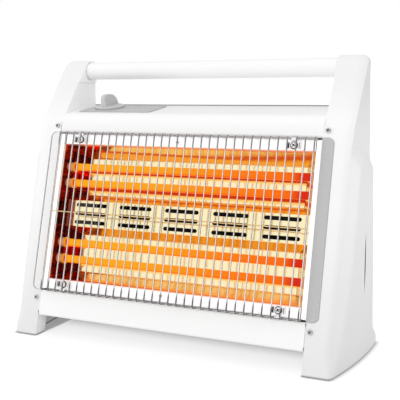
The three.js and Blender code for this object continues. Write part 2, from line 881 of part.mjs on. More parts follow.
function troughPath(shrink) {
  const half = [
    V2(flangeSetback, troughHalf - shrink),
    V2(troughDepth - shrink, troughOuter - shrink),
    V2(troughDepth - shrink, troughInner + shrink),
    V2(bandDepthIn - shrink, bandHalf + shrink),
  ];
  const lower = half.map((p) => V2(p.x, -p.y)).reverse();
  return [...half, ...lower];
}

const flangeReach = innerX - clearance / 2;

// Wedges beyond the slanting ends of the troughs
function endAt(into) {
  return openingReach - (into - flangeSetback) * endSlope;
}

function endWedge(into, shift) {
  const shape = new THREE.Shape();
  const far = flangeReach + overrun;
  shape.moveTo(endAt(flangeSetback) - shift, flangeSetback);
  shape.lineTo(endAt(into) - shift, into);
  shape.lineTo(far, into);
  shape.lineTo(far, flangeSetback);
  return shape;
}

function reflector() {
  const path = [
    V2(flangeSetback + reflectorLip, flangeOuter),
    V2(flangeSetback, flangeOuter),
    ...troughPath(0),
    V2(flangeSetback, -flangeOuter),
    V2(flangeSetback + reflectorLip, -flangeOuter),
  ];
  const half = openingReach - endSeam;
  const pressed = pushX(sheetOutline(path, reflectorSheet), -half, half);
  const wedge = pushZ(endWedge(troughDepth + overrun, clearance), -troughHalf, troughHalf);
  const slots = [];
  for (let group = 0; group < slotGroups; group += 1) {
    for (let row = 0; row < slotRows; row += 1) {
      const x = (group - (slotGroups - 1) / 2) * slotGroupPitch;
      const up = (row - (slotRows - 1) / 2) * slotRowPitch;
      const slot = slotPath(new THREE.Shape(), x, up, slotLength, slotHeight);
      slots.push(pushY(slot, bandDepthIn - overrun, bandDepthIn + overrun, slotFacets));
    }
  }
  const holes = [];
  [1, -1].forEach((side) => {
    const radius = screwShankRadius + clearance;
    clampCentres().forEach((x) => {
      const hole = turnForward(rod(radius, -clampScrewLength, clampScrewLength), smallFacets);
      holes.push(hole.translate(x, 0, side * clampScrewHeight));
    });
    const hole = turnForward(rod(rivetShank + clearance, -rivetLength, rivetLength), smallFacets);
    holes.push(hole.translate(rivetX, 0, side * clampScrewHeight));
  });
  return cut(pressed, [wedge, mirrored(wedge), ...slots, ...holes]);
}

// Slanting end of both troughs with its flange and the holes for the tubes
function reflectorEnd() {
  const outline = troughPath(clearance).map((p, i, all) => {
    const edge = i === 0 || i === all.length - 1;
    return edge ? V2(flangeSetback + reflectorSheet / 2, p.y) : p;
  });
  const filled = pushX(new THREE.Shape(outline), 0, flangeReach);
  const slab = new THREE.Shape();
  const deep = troughDepth + overrun;
  slab.moveTo(endAt(flangeSetback), flangeSetback);
  slab.lineTo(endAt(deep), deep);
  slab.lineTo(endAt(deep) + reflectorSheet, deep);
  slab.lineTo(endAt(flangeSetback) + reflectorSheet, flangeSetback);
  const wall = common(filled, pushZ(slab, -troughHalf, troughHalf));
  const flange = box(endAt(flangeSetback), flangeReach, flangeSetback, flangeSetback + reflectorSheet,
    -endFlangeHalf, endFlangeHalf);
  const bore = turnAlongX(rod(capRadius + clearance, capInner - capRadius * 2, flangeReach + overrun));
  const holes = tubePlaces.map((up) => bore.clone().translate(0, tubeDepth, up));
  return cut(join([wall, flange]), holes);
}

// Wire guard: upright wires whose ends turn back to an edge wire at the top and bottom
function wireGuard() {
  const edge = flangeSetback - clearance - wireRadius;
  const profile = roundedPath([
    V2(edge, guardHalf), V2(-wireStand, guardShoulder), V2(-wireStand, -guardShoulder), V2(edge, -guardHalf),
  ], [guardBend, guardBend], wireBendFacets);
  const upright = wireAlong(profile.map((p) => V3(0, p.x, p.y)), wireRadius, wireSides);
  const reach = ((wireCount - 1) / 2) * wirePitch + wireRadius;
  const across = (into, up) => wireAlong([V3(-reach, into, up), V3(reach, into, up)], wireRadius, wireSides);
  const parts = [];
  for (let i = 0; i < wireCount; i += 1) {
    const x = (i - (wireCount - 1) / 2) * wirePitch;
    parts.push(upright.clone().translate(x, 0, 0));
  }
  parts.push(across(edge, guardHalf), across(edge, -guardHalf));
  parts.push(across(-wireStand + 2 * wireRadius - weldBite, 0));
  return join(parts);
}

// Clamps that hold the edge wires against the reflector
const rivetX = -rivetPlace * wirePitch;
function clampCentres() {
  const x = clampPlace * wirePitch;
  return [-x, x];
}

function guardClamp() {
  const face = flangeSetback - clearance;
  const low = face - clampSheet;
  const plate = box(-clampWidth / 2, clampWidth / 2, low, face, clampLow, clampHigh);
  const fingerHalf = clampFingerWidth / 2;
  const edge = flangeSetback - clearance - wireRadius;
  const over = edge - wireRadius - clearance;
  const wallOuter = guardHalf - wireRadius - clearance;
  const wallInner = wallOuter - clampSheet;
  const tongue = box(-fingerHalf, fingerHalf, low, face, clampLow, wallOuter);
  const wall = box(-fingerHalf, fingerHalf, over - clampSheet, face, wallInner, wallOuter);
  const hook = box(-fingerHalf, fingerHalf, over - clampSheet, over, wallInner, guardHalf + wireRadius);
  const earInner = clampWidth / 2 - clampSheet;
  const ear = box(earInner, clampWidth / 2, low - clampEar, face, clampLow, clampHigh);
  const holeRadius = screwShankRadius + clearance;
  const hole = turnForward(rod(holeRadius, -clampScrewLength, clampScrewLength), smallFacets);
  hole.translate(0, 0, clampScrewHeight);
  return cut(join([plate, tongue, wall, hook, ear, mirrored(ear)]), [hole]);
}

// Pan head screw whose head starts at zero and whose shank goes back from it
function panScrew(headRadius, rise, shank, length) {
  const head = turnForward([
    [0, -length], [shank, -length], [shank, 0], [headRadius, 0], [headRadius, rise * headEdge],
    [headRadius * headCrown, rise], [0, rise],
  ], headFacets);
  const arm = headRadius * recessArm;
  const half = headRadius * recessHalf;
  const floor = rise * headEdge;
  const across = box(-arm, arm, -rise * 2, -floor, -half, half);
  const upright = box(-half, half, -rise * 2, -floor, -arm, arm);
  return cut(head, [join([across, upright])]);
}

// Tube ends: each ceramic cap is drawn along +X from its inner face
function ceramicCap() {
  const end = capInner + capLength;
  const seat = capInner + capBore + clearance;
  const bore = tubeRadius + clearance;
  const tail = coilTail + clearance;
  return turnAlongX([
    [bore, capInner], [capRadius, capInner], [capRadius, end],
    [tail, end], [tail, seat], [bore, seat], [bore, capInner],
  ], plainFacets);
}

function quartzTube() {
  const end = capInner + capBore;
  const bore = tubeRadius - tubeWall;
  return turnAlongX([
    [bore, -end], [tubeRadius, -end], [tubeRadius, end], [bore, end], [bore, -end],
  ], plainFacets);
}

function heatingCoil() {
  const coilEnd = capInner;
  const tailEnd = capInner + capLength + tailBeyondCap;
  return turnAlongX([
    [0, -tailEnd], [coilTail, -tailEnd], [coilTail, -coilEnd - coilRadius], [coilRadius, -coilEnd],
    [coilRadius, coilEnd], [coilTail, coilEnd + coilRadius], [coilTail, tailEnd], [0, tailEnd],
  ], smallFacets);
}

// Bar that joins the ends of the coils inside a cheek
function linkBar() {
  const start = capInner + capLength + tailBeyondCap + clearance;
  const half = tubePlaces[0] + linkWidth;
  return box(start, start + linkSheet, tubeDepth - linkWidth / 2, tubeDepth + linkWidth / 2, -half, half);
}

// Knob and switch sit square to the sloping top
const knobX = -innerX + knobInset;
const knobY = bodyBack - knobBehindBack;
const knobFrame = new THREE.Matrix4()
  .makeTranslation(knobX, knobY, coverTop(knobY))
  .multiply(new THREE.Matrix4().makeRotationX(coverSlope));
const plateTop = clearance + plateSheet;

// Clearance for the switch's neck, in the knob's frame
function neckHole() {
  return turn(rod(neckRadius + clearance, -switchHeight, switchHeight));
}

function controlPlate() {
  const left = plateShift - plateWidth / 2;
  const front = -plateForward - plateDepth / 2;
  const shape = roundedRectangle(left, left + plateWidth, front, front + plateDepth, plateRound);
  return cut(pushZ(shape, clearance, plateTop), [neckHole()]);
}

const knobLow = plateTop + clearance;
const knobTop = knobLow + knobSkirt + knobDome;
const shaftTop = knobLow + shaftReach;

function knob() {
  const recessTop = knobLow + nutHeight + 2 * clearance;
  const bore = shaftRadius + clearance;
  const boreTop = shaftTop + clearance;
  const skirt = turn([
    [0, recessTop], [knobRecessRadius, recessTop], [knobRecessRadius, knobLow], [knobRadius, knobLow],
    [knobRadius, knobLow + knobSkirt], [knobRadius * 0.9, knobTop - knobDome / 3],
    [knobRadius * 0.75, knobTop], [0, knobTop],
  ], fineFacets);
  const half = finLength / 2;
  const base = knobTop - knobDome;
  const fin = new THREE.Shape();
  fin.moveTo(-half, base);
  fin.lineTo(half, base);
  fin.quadraticCurveTo(half * 0.95, base + finRise * 0.55, half * 0.45, base + finRise * 0.86);
  fin.quadraticCurveTo(0, base + finRise * 1.08, -half * 0.8, base + finRise);
  fin.quadraticCurveTo(-half * 1.02, base + finRise * 0.95, -half, base + finRise * 0.7);
  const blade = pushX(fin, -finWidth / 2, finWidth / 2, bendFacets + 1);
  const shaftBore = turn([[0, knobLow], [bore, knobLow], [bore, boreTop], [0, boreTop]], plainFacets);
  return cut(join([skirt, blade]), [shaftBore]);
}

function switchShaft() {
  const foot = -switchBore;
  return turn([[0, foot], [shaftRadius, foot], [shaftRadius, shaftTop], [0, shaftTop]], plainFacets);
}

function switchBody() {
  const top = -sheet - clearance;
  const bore = shaftRadius + clearance;
  const boreEnd = -switchBore - clearance;
  const neckTop = knobLow + nutHeight;
  return turn([
    [0, top - switchHeight], [switchRadius, top - switchHeight], [switchRadius, top], [neckRadius, top],
    [neckRadius, neckTop], [bore, neckTop], [bore, boreEnd], [0, boreEnd],
  ], plainFacets);
}

function switchNut() {
  const hexagon = new THREE.Shape();
  for (let i = 0; i < 6; i += 1) {
    const angle = (Math.PI / 3) * i;
    const corner = V2(Math.cos(angle), Math.sin(angle)).multiplyScalar(nutAcross / Math.sqrt(3));
    if (i === 0) hexagon.moveTo(corner.x, corner.y);
    else hexagon.lineTo(corner.x, corner.y);
  }
  return cut(pushZ(hexagon, plateTop + clearance, plateTop + nutHeight), [neckHole()]);
}

// Safety switch that opens when the heater tips over, and the block where the cord joins
function tiltSwitch() {
  const low = basePlateTop + clearance;
  const body = box(tiltPlace - tiltWidth / 2, tiltPlace + tiltWidth / 2, -tiltDepth / 2, tiltDepth / 2,
    low, low + tiltHeight);
  const chamber = box(tiltPlace - tiltWidth / 2 - overrun, tiltPlace + tiltWidth / 2 - boxWall,
    -tiltDepth / 2 + boxWall, tiltDepth / 2 - boxWall, low + boxWall, low + tiltHeight - boxWall);
  return cut(body, [chamber]);
}

function terminalBlock() {
  const low = basePlateTop + clearance;
  const y = backFace - blockBehind;
  const body = box(blockPlace - blockWidth / 2, blockPlace + blockWidth / 2, y - blockDepth / 2,
    y + blockDepth / 2, low, low + blockHeight);
  const wells = [-1, 0, 1].map((place) => {
    const well = turn(rod(sleeveRadius, low + blockHeight / 2, low + blockHeight + overrun), smallFacets);
    return well.translate(blockPlace + (place * blockWidth) / 3, y, 0);
  });
  return cut(body, wells);
}

function inletBush() {
  const lip = inletFlange - inletRadius;
  return turnBackward([
    [inletBore, -inletLength], [inletRadius, -inletLength], [inletRadius, 0], [inletFlange, 0],
    [inletFlange, lip], [inletBore, lip], [inletBore, -inletLength],
  ]);
}

// Sleeved leads from the tubes in the right cheek, up and across to the switch
function sleevedLeads() {
  const start = capInner + capLength + tailBeyondCap + clearance;
  const x = start + linkSheet + clearance + sleeveRadius;
  const low = onPlane(tubeDepth, tubePlaces.at(-1));
  const high = V2(knobY, onPlane(sleeveBehind, openingHalf - reflectorLip).y);
  const reach = (switchRadius + sleeveRadius) * Math.cos(Math.PI / plainFacets);
  const switchSide = knobX + reach + clearance;
  const points = [
    V3(x, low.x, low.y),
    V3(x, high.x - sleeveBehind / 2, high.y - sleeveBehind),
    V3(x, high.x - sleeveRadius, high.y - sleeveRadius * 2),
    V3(x - sleeveRadius * 2, high.x, high.y),
    V3(switchSide + sleeveRadius * 2, high.x, high.y),
    V3(switchSide, high.x, high.y + sleeveRadius * 2),
    V3(switchSide, high.x, coverTop(high.x) - switchHeight / 2),
  ];
  return wireAlong(points, sleeveRadius, wireSides + 2);
}

// Assembly
const heater = new THREE.Group();
const panelFrame = new THREE.Group();
panelFrame.position.set(0, planeMiddle.x, planeMiddle.y);
panelFrame.rotation.x = -lean;
const controlFrame = new THREE.Group();
controlFrame.position.set(knobX, knobY, coverTop(knobY));
controlFrame.rotation.x = coverSlope;
heater.add(panelFrame, controlFrame);

function material(color, roughness, metalness) {
  return () => new THREE.MeshStandardMaterial({ color, roughness, metalness });
}

const whitePlastic = material('#f3f3f3', 0.35, 0);
const whiteEnamel = material('#f7f7f7', 0.3, 0);
const greyPlastic = material('#a8a8a8', 0.45, 0);
const plateGrey = material('#c4c4c4', 0.4, 0.3);
const chrome = material('#d8d8d8', 0.18, 1);
const mirrorSteel = material('#e8e4dc', 0.12, 1);
const zincSteel = material('#9c9c9c', 0.4, 1);
const ceramicWhite = material('#efe6da', 0.6, 0);
const quartzGlow = material('#ff9a40', 0.1, 0);
const coilGlow = material('#ff7a10', 0.6, 0);
const blackPlastic = material('#2b2b2b', 0.5, 0);
const sleeveRed = material('#7c4a3c', 0.8, 0);

function add(name, geometry, paint, parent = heater) {
  const mesh = new THREE.Mesh(toGeometry(toSolid(geometry)), paint());
  mesh.name = name;
  parent.add(mesh);
  return mesh;
}

const cheek = rightCheek();
add('right_cheek', cheek, whitePlastic);
add('left_cheek', mirrored(cheek), whitePlastic);
add('handle_tube', handleTube(), whiteEnamel).position.set(0, handleY, handleHeight);
add('top_cover', topCover(), whiteEnamel);
add('lower_fascia', lowerFascia(), whiteEnamel);
add('back_panel', backPanel(), whiteEnamel);
add('base_plate', basePlate(), zincSteel);

const strip = sideStrip();
add('right_side_strip', strip, plateGrey, panelFrame);
add('left_side_strip', mirrored(strip), plateGrey, panelFrame);
add('reflector', reflector(), mirrorSteel, panelFrame);
const reflectorEndPlate = reflectorEnd();
add('right_reflector_end', reflectorEndPlate, mirrorSteel, panelFrame);
add('left_reflector_end', mirrored(reflectorEndPlate), mirrorSteel, panelFrame);
add('wire_guard', wireGuard(), chrome, panelFrame);

const clampGeometry = guardClamp();
const clampScrew = panScrew(clampScrewRadius, clampScrewRise, screwShankRadius, clampScrewLength);
const sides = ['left', 'right'];
const levels = [['upper', 1], ['lower', -1]];
const reflectorScrew = panScrew(rivetRadius, rivetRise, rivetShank, rivetLength);
levels.forEach(([level, side]) => {
  const clampShape = clampGeometry.clone().scale(1, 1, side);
  clampCentres().forEach((x, i) => {
    const label = `${level}_${sides[i]}`;
    add(`${label}_guard_clamp`, clampShape, chrome, panelFrame).position.x = x;
    const screw = add(`${label}_clamp_screw`, clampScrew, zincSteel, panelFrame);
    screw.position.set(x, flangeSetback - clampSheet - 2 * clearance, side * clampScrewHeight);
  });
  const small = add(`${level}_reflector_screw`, reflectorScrew, zincSteel, panelFrame);
  small.position.set(rivetX, flangeSetback - clearance, side * clampScrewHeight);
});

const cheekScrew = panScrew(screwHeadRadius, screwHeadRise, screwShankRadius, screwLength);
const screwX = innerX + screwInset;
sides.forEach((hand, i) => {
  const x = i === 0 ? -screwX : screwX;
  [['upper', frontScrewHigh], ['lower', -frontScrewLow]].forEach(([level, up]) => {
    const screw = add(`${level}_${hand}_front_screw`, cheekScrew, zincSteel, panelFrame);
    screw.position.set(x, -clearance, up);
  });
  [['upper', rearScrewHigh], ['lower', rearScrewLow]].forEach(([level, z]) => {
    const screw = add(`${level}_${hand}_rear_screw`, cheekScrew, zincSteel);
    screw.rotation.z = Math.PI;
    screw.position.set(x, bodyBack + clearance, z);
  });
});

tubePlaces.forEach((up, i) => {
  const label = i + 1;
  const place = (mesh) => mesh.position.set(0, tubeDepth, up);
  place(add(`quartz_tube_${label}`, quartzTube(), quartzGlow, panelFrame));
  place(add(`heating_coil_${label}`, heatingCoil(), coilGlow, panelFrame));
  const cap = ceramicCap();
  place(add(`right_tube_cap_${label}`, cap, ceramicWhite, panelFrame));
  place(add(`left_tube_cap_${label}`, mirrored(cap), ceramicWhite, panelFrame));
});

const bar = linkBar();
add('left_link_bar', mirrored(bar), zincSteel, panelFrame);
add('sleeved_leads', sleevedLeads(), sleeveRed);

add('control_plate', controlPlate(), plateGrey, controlFrame);
add('knob', knob(), greyPlastic, controlFrame);
add('switch_shaft', switchShaft(), zincSteel, controlFrame);
add('switch_body', switchBody(), blackPlastic, controlFrame);
add('switch_nut', switchNut(), zincSteel, controlFrame);

add('tilt_switch', tiltSwitch(), blackPlastic);
add('terminal_block', terminalBlock(), ceramicWhite);
const bush = add('cord_inlet_bush', inletBush(), blackPlastic);
bush.position.set(blockPlace, backFace + clearance, inletHeight);

export default heater;
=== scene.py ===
# %% [markdown]
# # A portable quartz heater
#
# The heater has a body of bent white sheet between two moulded cheeks, and a round
# handle that joins the cheeks at the top. Behind a guard of chrome wires, four quartz tubes glow
# in a polished reflector that is pressed into two troughs.
#
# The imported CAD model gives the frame: every piece made here is drawn in
# millimetres from the same sizes as the CAD, and sits on the place of the part it stands for.

# %% The frame, and the tools that every cell uses
from math import cos, pi, radians, sin, sqrt, tan

import bmesh
import bpy
from mathutils import Matrix, Vector


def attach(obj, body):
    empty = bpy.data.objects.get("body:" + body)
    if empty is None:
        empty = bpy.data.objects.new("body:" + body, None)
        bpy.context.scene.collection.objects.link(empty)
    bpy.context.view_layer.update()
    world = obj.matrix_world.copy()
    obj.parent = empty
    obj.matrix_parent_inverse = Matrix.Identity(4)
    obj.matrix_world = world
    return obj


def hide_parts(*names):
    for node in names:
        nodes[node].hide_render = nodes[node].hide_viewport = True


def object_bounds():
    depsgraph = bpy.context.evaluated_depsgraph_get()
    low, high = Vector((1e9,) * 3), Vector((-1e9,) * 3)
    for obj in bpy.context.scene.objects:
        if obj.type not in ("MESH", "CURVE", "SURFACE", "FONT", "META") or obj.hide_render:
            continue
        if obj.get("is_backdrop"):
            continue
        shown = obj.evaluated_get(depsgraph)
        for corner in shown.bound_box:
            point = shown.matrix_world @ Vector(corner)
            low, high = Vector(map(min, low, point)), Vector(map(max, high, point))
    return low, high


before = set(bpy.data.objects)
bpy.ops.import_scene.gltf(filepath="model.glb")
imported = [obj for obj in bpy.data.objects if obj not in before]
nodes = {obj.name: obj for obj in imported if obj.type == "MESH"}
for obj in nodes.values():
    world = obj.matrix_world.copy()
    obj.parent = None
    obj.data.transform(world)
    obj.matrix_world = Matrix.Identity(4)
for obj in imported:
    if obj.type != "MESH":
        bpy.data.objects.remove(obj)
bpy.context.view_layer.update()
scene = bpy.context.scene
scene.view_settings.view_transform = "Standard"

# %% [markdown]
# ## Camera
#
# The heater is seen a little from its right and from just above its middle. The lens is a
# short telephoto, so the tubes run nearly parallel. The place was found by matching corners of
# the body, so the camera needs no shift.

# %% Camera
mm = 0.001
azimuth, pitch = radians(25.04), radians(7.457)
toward_camera = Vector((sin(azimuth) * cos(pitch), -cos(azimuth) * cos(pitch), sin(pitch)))

camera_data = bpy.data.cameras.new("camera")
camera_data.sensor_width = 36
camera_data.lens = 70.36
camera = bpy.data.objects.new("camera", camera_data)
scene.collection.objects.link(camera)
camera.location = Vector((477.04, -978.04, 339.57)) * mm
camera.rotation_mode = "QUATERNION"
camera.rotation_quaternion = (-toward_camera).to_track_quat("-Z", "Y")
scene.camera = camera
print("camera", [round(c, 3) for c in camera.location])

# %% [markdown]
# ## Sizes and places
#
# The front of the heater leans back by 14.4 degrees, and more above a kink near the top. The
# reflector, the tubes, the guard and the side strips all lie square to that leaning front, so
# they are drawn upright in a frame of their own and then leaned back together. The control
# plate and the knob have such a frame too, on the slope of the top.

# %% Sizes and the two leaning frames
height, depth = 396, 181
inner_x = 199
lean, head_lean = radians(14.4), radians(37.1)
kink, kink_round = 303, 8
gap = 0.3
front_foot = -depth / 2
rear_flare = 10.7
body_back = depth / 2 - rear_flare
opening_middle, opening_half = 177, 116.2
plane_y = front_foot + opening_middle * tan(lean)
panel = Matrix.Translation((0, plane_y, opening_middle)) @ Matrix.Rotation(-lean, 4, "X")

slope = radians(8)
cover_back = 328.5
knob_x, knob_y = -150, body_back - 36.5
handle_y, handle_z = body_back - 16.3, 380


def cover_top(y):
    return cover_back - (body_back - y) * tan(slope)


control = Matrix.Translation((knob_x, knob_y, cover_top(knob_y))) @ Matrix.Rotation(slope, 4, "X")
upright = Matrix.Identity(4)


def clamp(value, low, high):
    return max(low, min(high, value))


def lerp(a, b, share):
    return a + (b - a) * share


def smoothstep(value, low, high):
    t = clamp((value - low) / (high - low), 0, 1)
    return t * t * (3 - 2 * t)


def on_plane(into, up):
    """(y, z) of a point of the leaning front, into the body and up along the front."""
    place = panel @ Vector((0, into, up))
    return place.y, place.z


# %% [markdown]
# ## From a bmesh to a finished piece
#
# Every piece ends in the same way: its frame is put into its mesh, so that the object itself
# stays at the origin, its folds are marked sharp or smooth by their angle, and it is tied to
# the CAD body that it moves with. A hole is cut with an exact boolean, which
# needs both shapes closed.

# %% Finishing, cutting and joining
def outward(bm):
    bmesh.ops.recalc_face_normals(bm, faces=bm.faces[:])
    return bm


def finish_piece(bm, name, material, place=upright, body="heater", stands_for=(), crease=32):
    bm.transform(Matrix.Scale(mm, 4) @ place)
    bm.normal_update()
    for face in bm.faces:
        face.smooth = True
    for edge in bm.edges:
        if len(edge.link_faces) == 2:
            edge.smooth = edge.calc_face_angle(0) < radians(crease)
    mesh = bpy.data.meshes.new(name)
    bm.to_mesh(mesh)
    bm.free()
    mesh.materials.append(material)
    piece = bpy.data.objects.new(name, mesh)
    scene.collection.objects.link(piece)
    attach(piece, body)
    if stands_for:
        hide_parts(*stands_for)
    print(name, "with", len(mesh.polygons), "faces")
    return piece


def scratch_object(bm):
    mesh = bpy.data.meshes.new("scratch")
    bm.to_mesh(mesh)
    thing = bpy.data.objects.new("scratch", mesh)
    scene.collection.objects.link(thing)
    return thing


def combined(operation, bm, others):
    """The closed shape in bm after an exact boolean with each of the closed shapes in others."""
    things = [scratch_object(shape) for shape in [bm, *others]]
    for other in things[1:]:
        step = things[0].modifiers.new("step", "BOOLEAN")
        step.operation, step.solver, step.object = operation, "EXACT", other
    result = bmesh.new()
    result.from_object(things[0], bpy.context.evaluated_depsgraph_get())
    for thing in things:
        mesh = thing.data
        bpy.data.objects.remove(thing)
        bpy.data.meshes.remove(mesh)
    return result


def united(bm, others):
    return combined("UNION", bm, others)


def carve(bm, cutters):
    result = combined("DIFFERENCE", bm, cutters)
    bmesh.ops.dissolve_degenerate(result, dist=1e-4, edges=result.edges[:])
    return result


def add_to(bm, other):
    """Puts the shape of other into bm."""
    mesh = bpy.data.meshes.new("scratch")
    other.to_mesh(mesh)
    other.free()
    bm.from_mesh(mesh)
    bpy.data.meshes.remove(mesh)
    return bm


def mirrored(bm, axis=(1, 0, 0)):
    twin = bm.copy()
    twin.transform(Matrix.Scale(-1, 4, axis))
    bmesh.ops.reverse_faces(twin, faces=twin.faces[:])
    return twin


def moved(bm, x=0, y=0, z=0):
    bm.transform(Matrix.Translation((x, y, z)))
    return bm


# %% [markdown]
# ## Basic shapes
#
# Five shapes come back in many pieces: a block with rounded edges, a turned shape, a pipe, a
# slot and a folded sheet. A folded sheet is its profile pushed along X; its corners are then
# bevelled to the bend's radius, and solidify gives it its thickness.

# %% Bevels, and faces that are pushed to get thickness
def bevelled(bm, where, offset, segments=2, affect="EDGES", measure="OFFSET", clamped=True):
    bmesh.ops.bevel(bm, geom=where, offset=offset, offset_type=measure, segments=segments,
                    profile=0.5, affect=affect, clamp_overlap=clamped, material=-1)


def edges_at(bm, test):
    """The edges whose two ends both pass a test of their place."""
    return [e for e in bm.edges if all(test(v.co) for v in e.verts)]


def outer_corners(bm, beyond):
    """The two edges along Y of a block, on its side beyond an X."""
    return [e for e in edges_at(bm, lambda co: co.x > beyond) if e.verts[0].co.z == e.verts[1].co.z]


def shift_new(bm, grown, by):
    verts = [part for part in grown["geom"] if isinstance(part, bmesh.types.BMVert)]
    bmesh.ops.translate(bm, verts=verts, vec=by)


def thick(bm, by):
    """The flat face in bm, given thickness by pushing it."""
    shift_new(bm, bmesh.ops.extrude_face_region(bm, geom=bm.faces[:]), by)
    return outward(bm)


def flat(points):
    bm = bmesh.new()
    bm.faces.new([bm.verts.new(point) for point in points])
    return bm


# %% Block, turned shape, pipe, slot
def block(x0, x1, y0, y1, z0, z1, edge=0):
    bm = bmesh.new()
    size = Matrix.Diagonal((x1 - x0, y1 - y0, z1 - z0, 1))
    middle = Matrix.Translation(((x0 + x1) / 2, (y0 + y1) / 2, (z0 + z1) / 2))
    bmesh.ops.create_cube(bm, size=1, matrix=middle @ size)
    if edge:
        bevelled(bm, bm.edges[:], edge)
    return bm


AXES = {"x": (1, 0, 0), "y": (0, 1, 0), "z": (0, 0, 1)}
ACROSS = {"x": (0, 0, 1), "y": (1, 0, 0), "z": (1, 0, 0)}


def turned(profile, axis, steps):
    """Spins (radius, along) points round an axis through the origin."""
    bm = bmesh.new()
    along, across = Vector(AXES[axis]), Vector(ACROSS[axis])
    points = [bm.verts.new(along * a + across * r) for r, a in profile]
    edges = [bm.edges.new(pair) for pair in zip(points, points[1:])]
    bmesh.ops.spin(bm, geom=points + edges, cent=(0, 0, 0), axis=along, angle=2 * pi,
                   steps=steps, use_merge=True, use_duplicate=False)
    bmesh.ops.remove_doubles(bm, verts=bm.verts[:], dist=1e-4)
    return outward(bm)


def rod(radius, start, end, axis, steps):
    return turned([(0, start), (radius, start), (radius, end), (0, end)], axis, steps)


def pipe(radius, half_length, wall, steps):
    """An open pipe along X."""
    bm = bmesh.new()
    bmesh.ops.create_cone(bm, cap_ends=False, segments=steps, radius1=radius, radius2=radius,
                          depth=2 * half_length)
    bm.transform(Matrix.Rotation(pi / 2, 4, "Y"))
    outward(bm)
    bmesh.ops.solidify(bm, geom=bm.faces[:], thickness=wall)
    return outward(bm)


def slot_cutter(length, width, deep, steps=24):
    """A bar with round ends along X, cut through along Y."""
    bm = rod(width / 2, -deep, deep, "y", steps)
    bm.transform(Matrix.Rotation(pi / steps, 4, "Y"))
    reach = (length - width) / 2
    for vert in bm.verts:
        vert.co.x += reach if vert.co.x > 1e-3 else -reach if vert.co.x < -1e-3 else 0
    return bm


# %% Folded sheet
def folded_sheet(points, radii, x0, x1, thickness, inside, steps=10):
    """A sheet along X. points are the outer (y, z) corners, inside is on its inner side."""
    bm = bmesh.new()
    corners = [bm.verts.new((x0, y, z)) for y, z in points]
    edges = [bm.edges.new(pair) for pair in zip(corners, corners[1:])]
    shift_new(bm, bmesh.ops.extrude_edge_only(bm, edges=edges), (x1 - x0, 0, 0))
    for (y, z), radius in zip(points[1:-1], radii):
        fold = [e for e in edges_at(bm, lambda co: abs(co.y - y) + abs(co.z - z) < 1e-4)
                if len(e.link_faces) == 2]
        turn = fold[0].calc_face_angle()
        bevelled(bm, fold, radius * tan(turn / 2), steps, clamped=False)
    outward(bm)
    bm.normal_update()
    widest = max(bm.faces, key=lambda face: face.calc_area())
    away = widest.calc_center_median() - Vector((0, *inside))
    away.x = 0
    if widest.normal.dot(away) < 0:
        bmesh.ops.reverse_faces(bm, faces=bm.faces[:])
    bm.normal_update()
    bmesh.ops.solidify(bm, geom=bm.faces[:], thickness=thickness)
    return outward(bm)

# %% [markdown]
# ## Finishes
#
# Real surfaces are never one flat value. Four small node groups carry what changes over a
# surface, and each material uses them with its own numbers: the fine grain of a moulding and a
# painted shade or light that changes its tone with height, the drawn lines of rolled metal, the
# soft waves of thin polished sheet with a painted reflection of the glow, and the glow along a
# tube. What is the same all over stays on the shader itself.

# %% Node helpers
OUTPUT_KINDS = {"Colour": "Color", "Glow": "Color", "Normal": "Vector"}


def grey(level):
    return (level, level, level, 1.0)


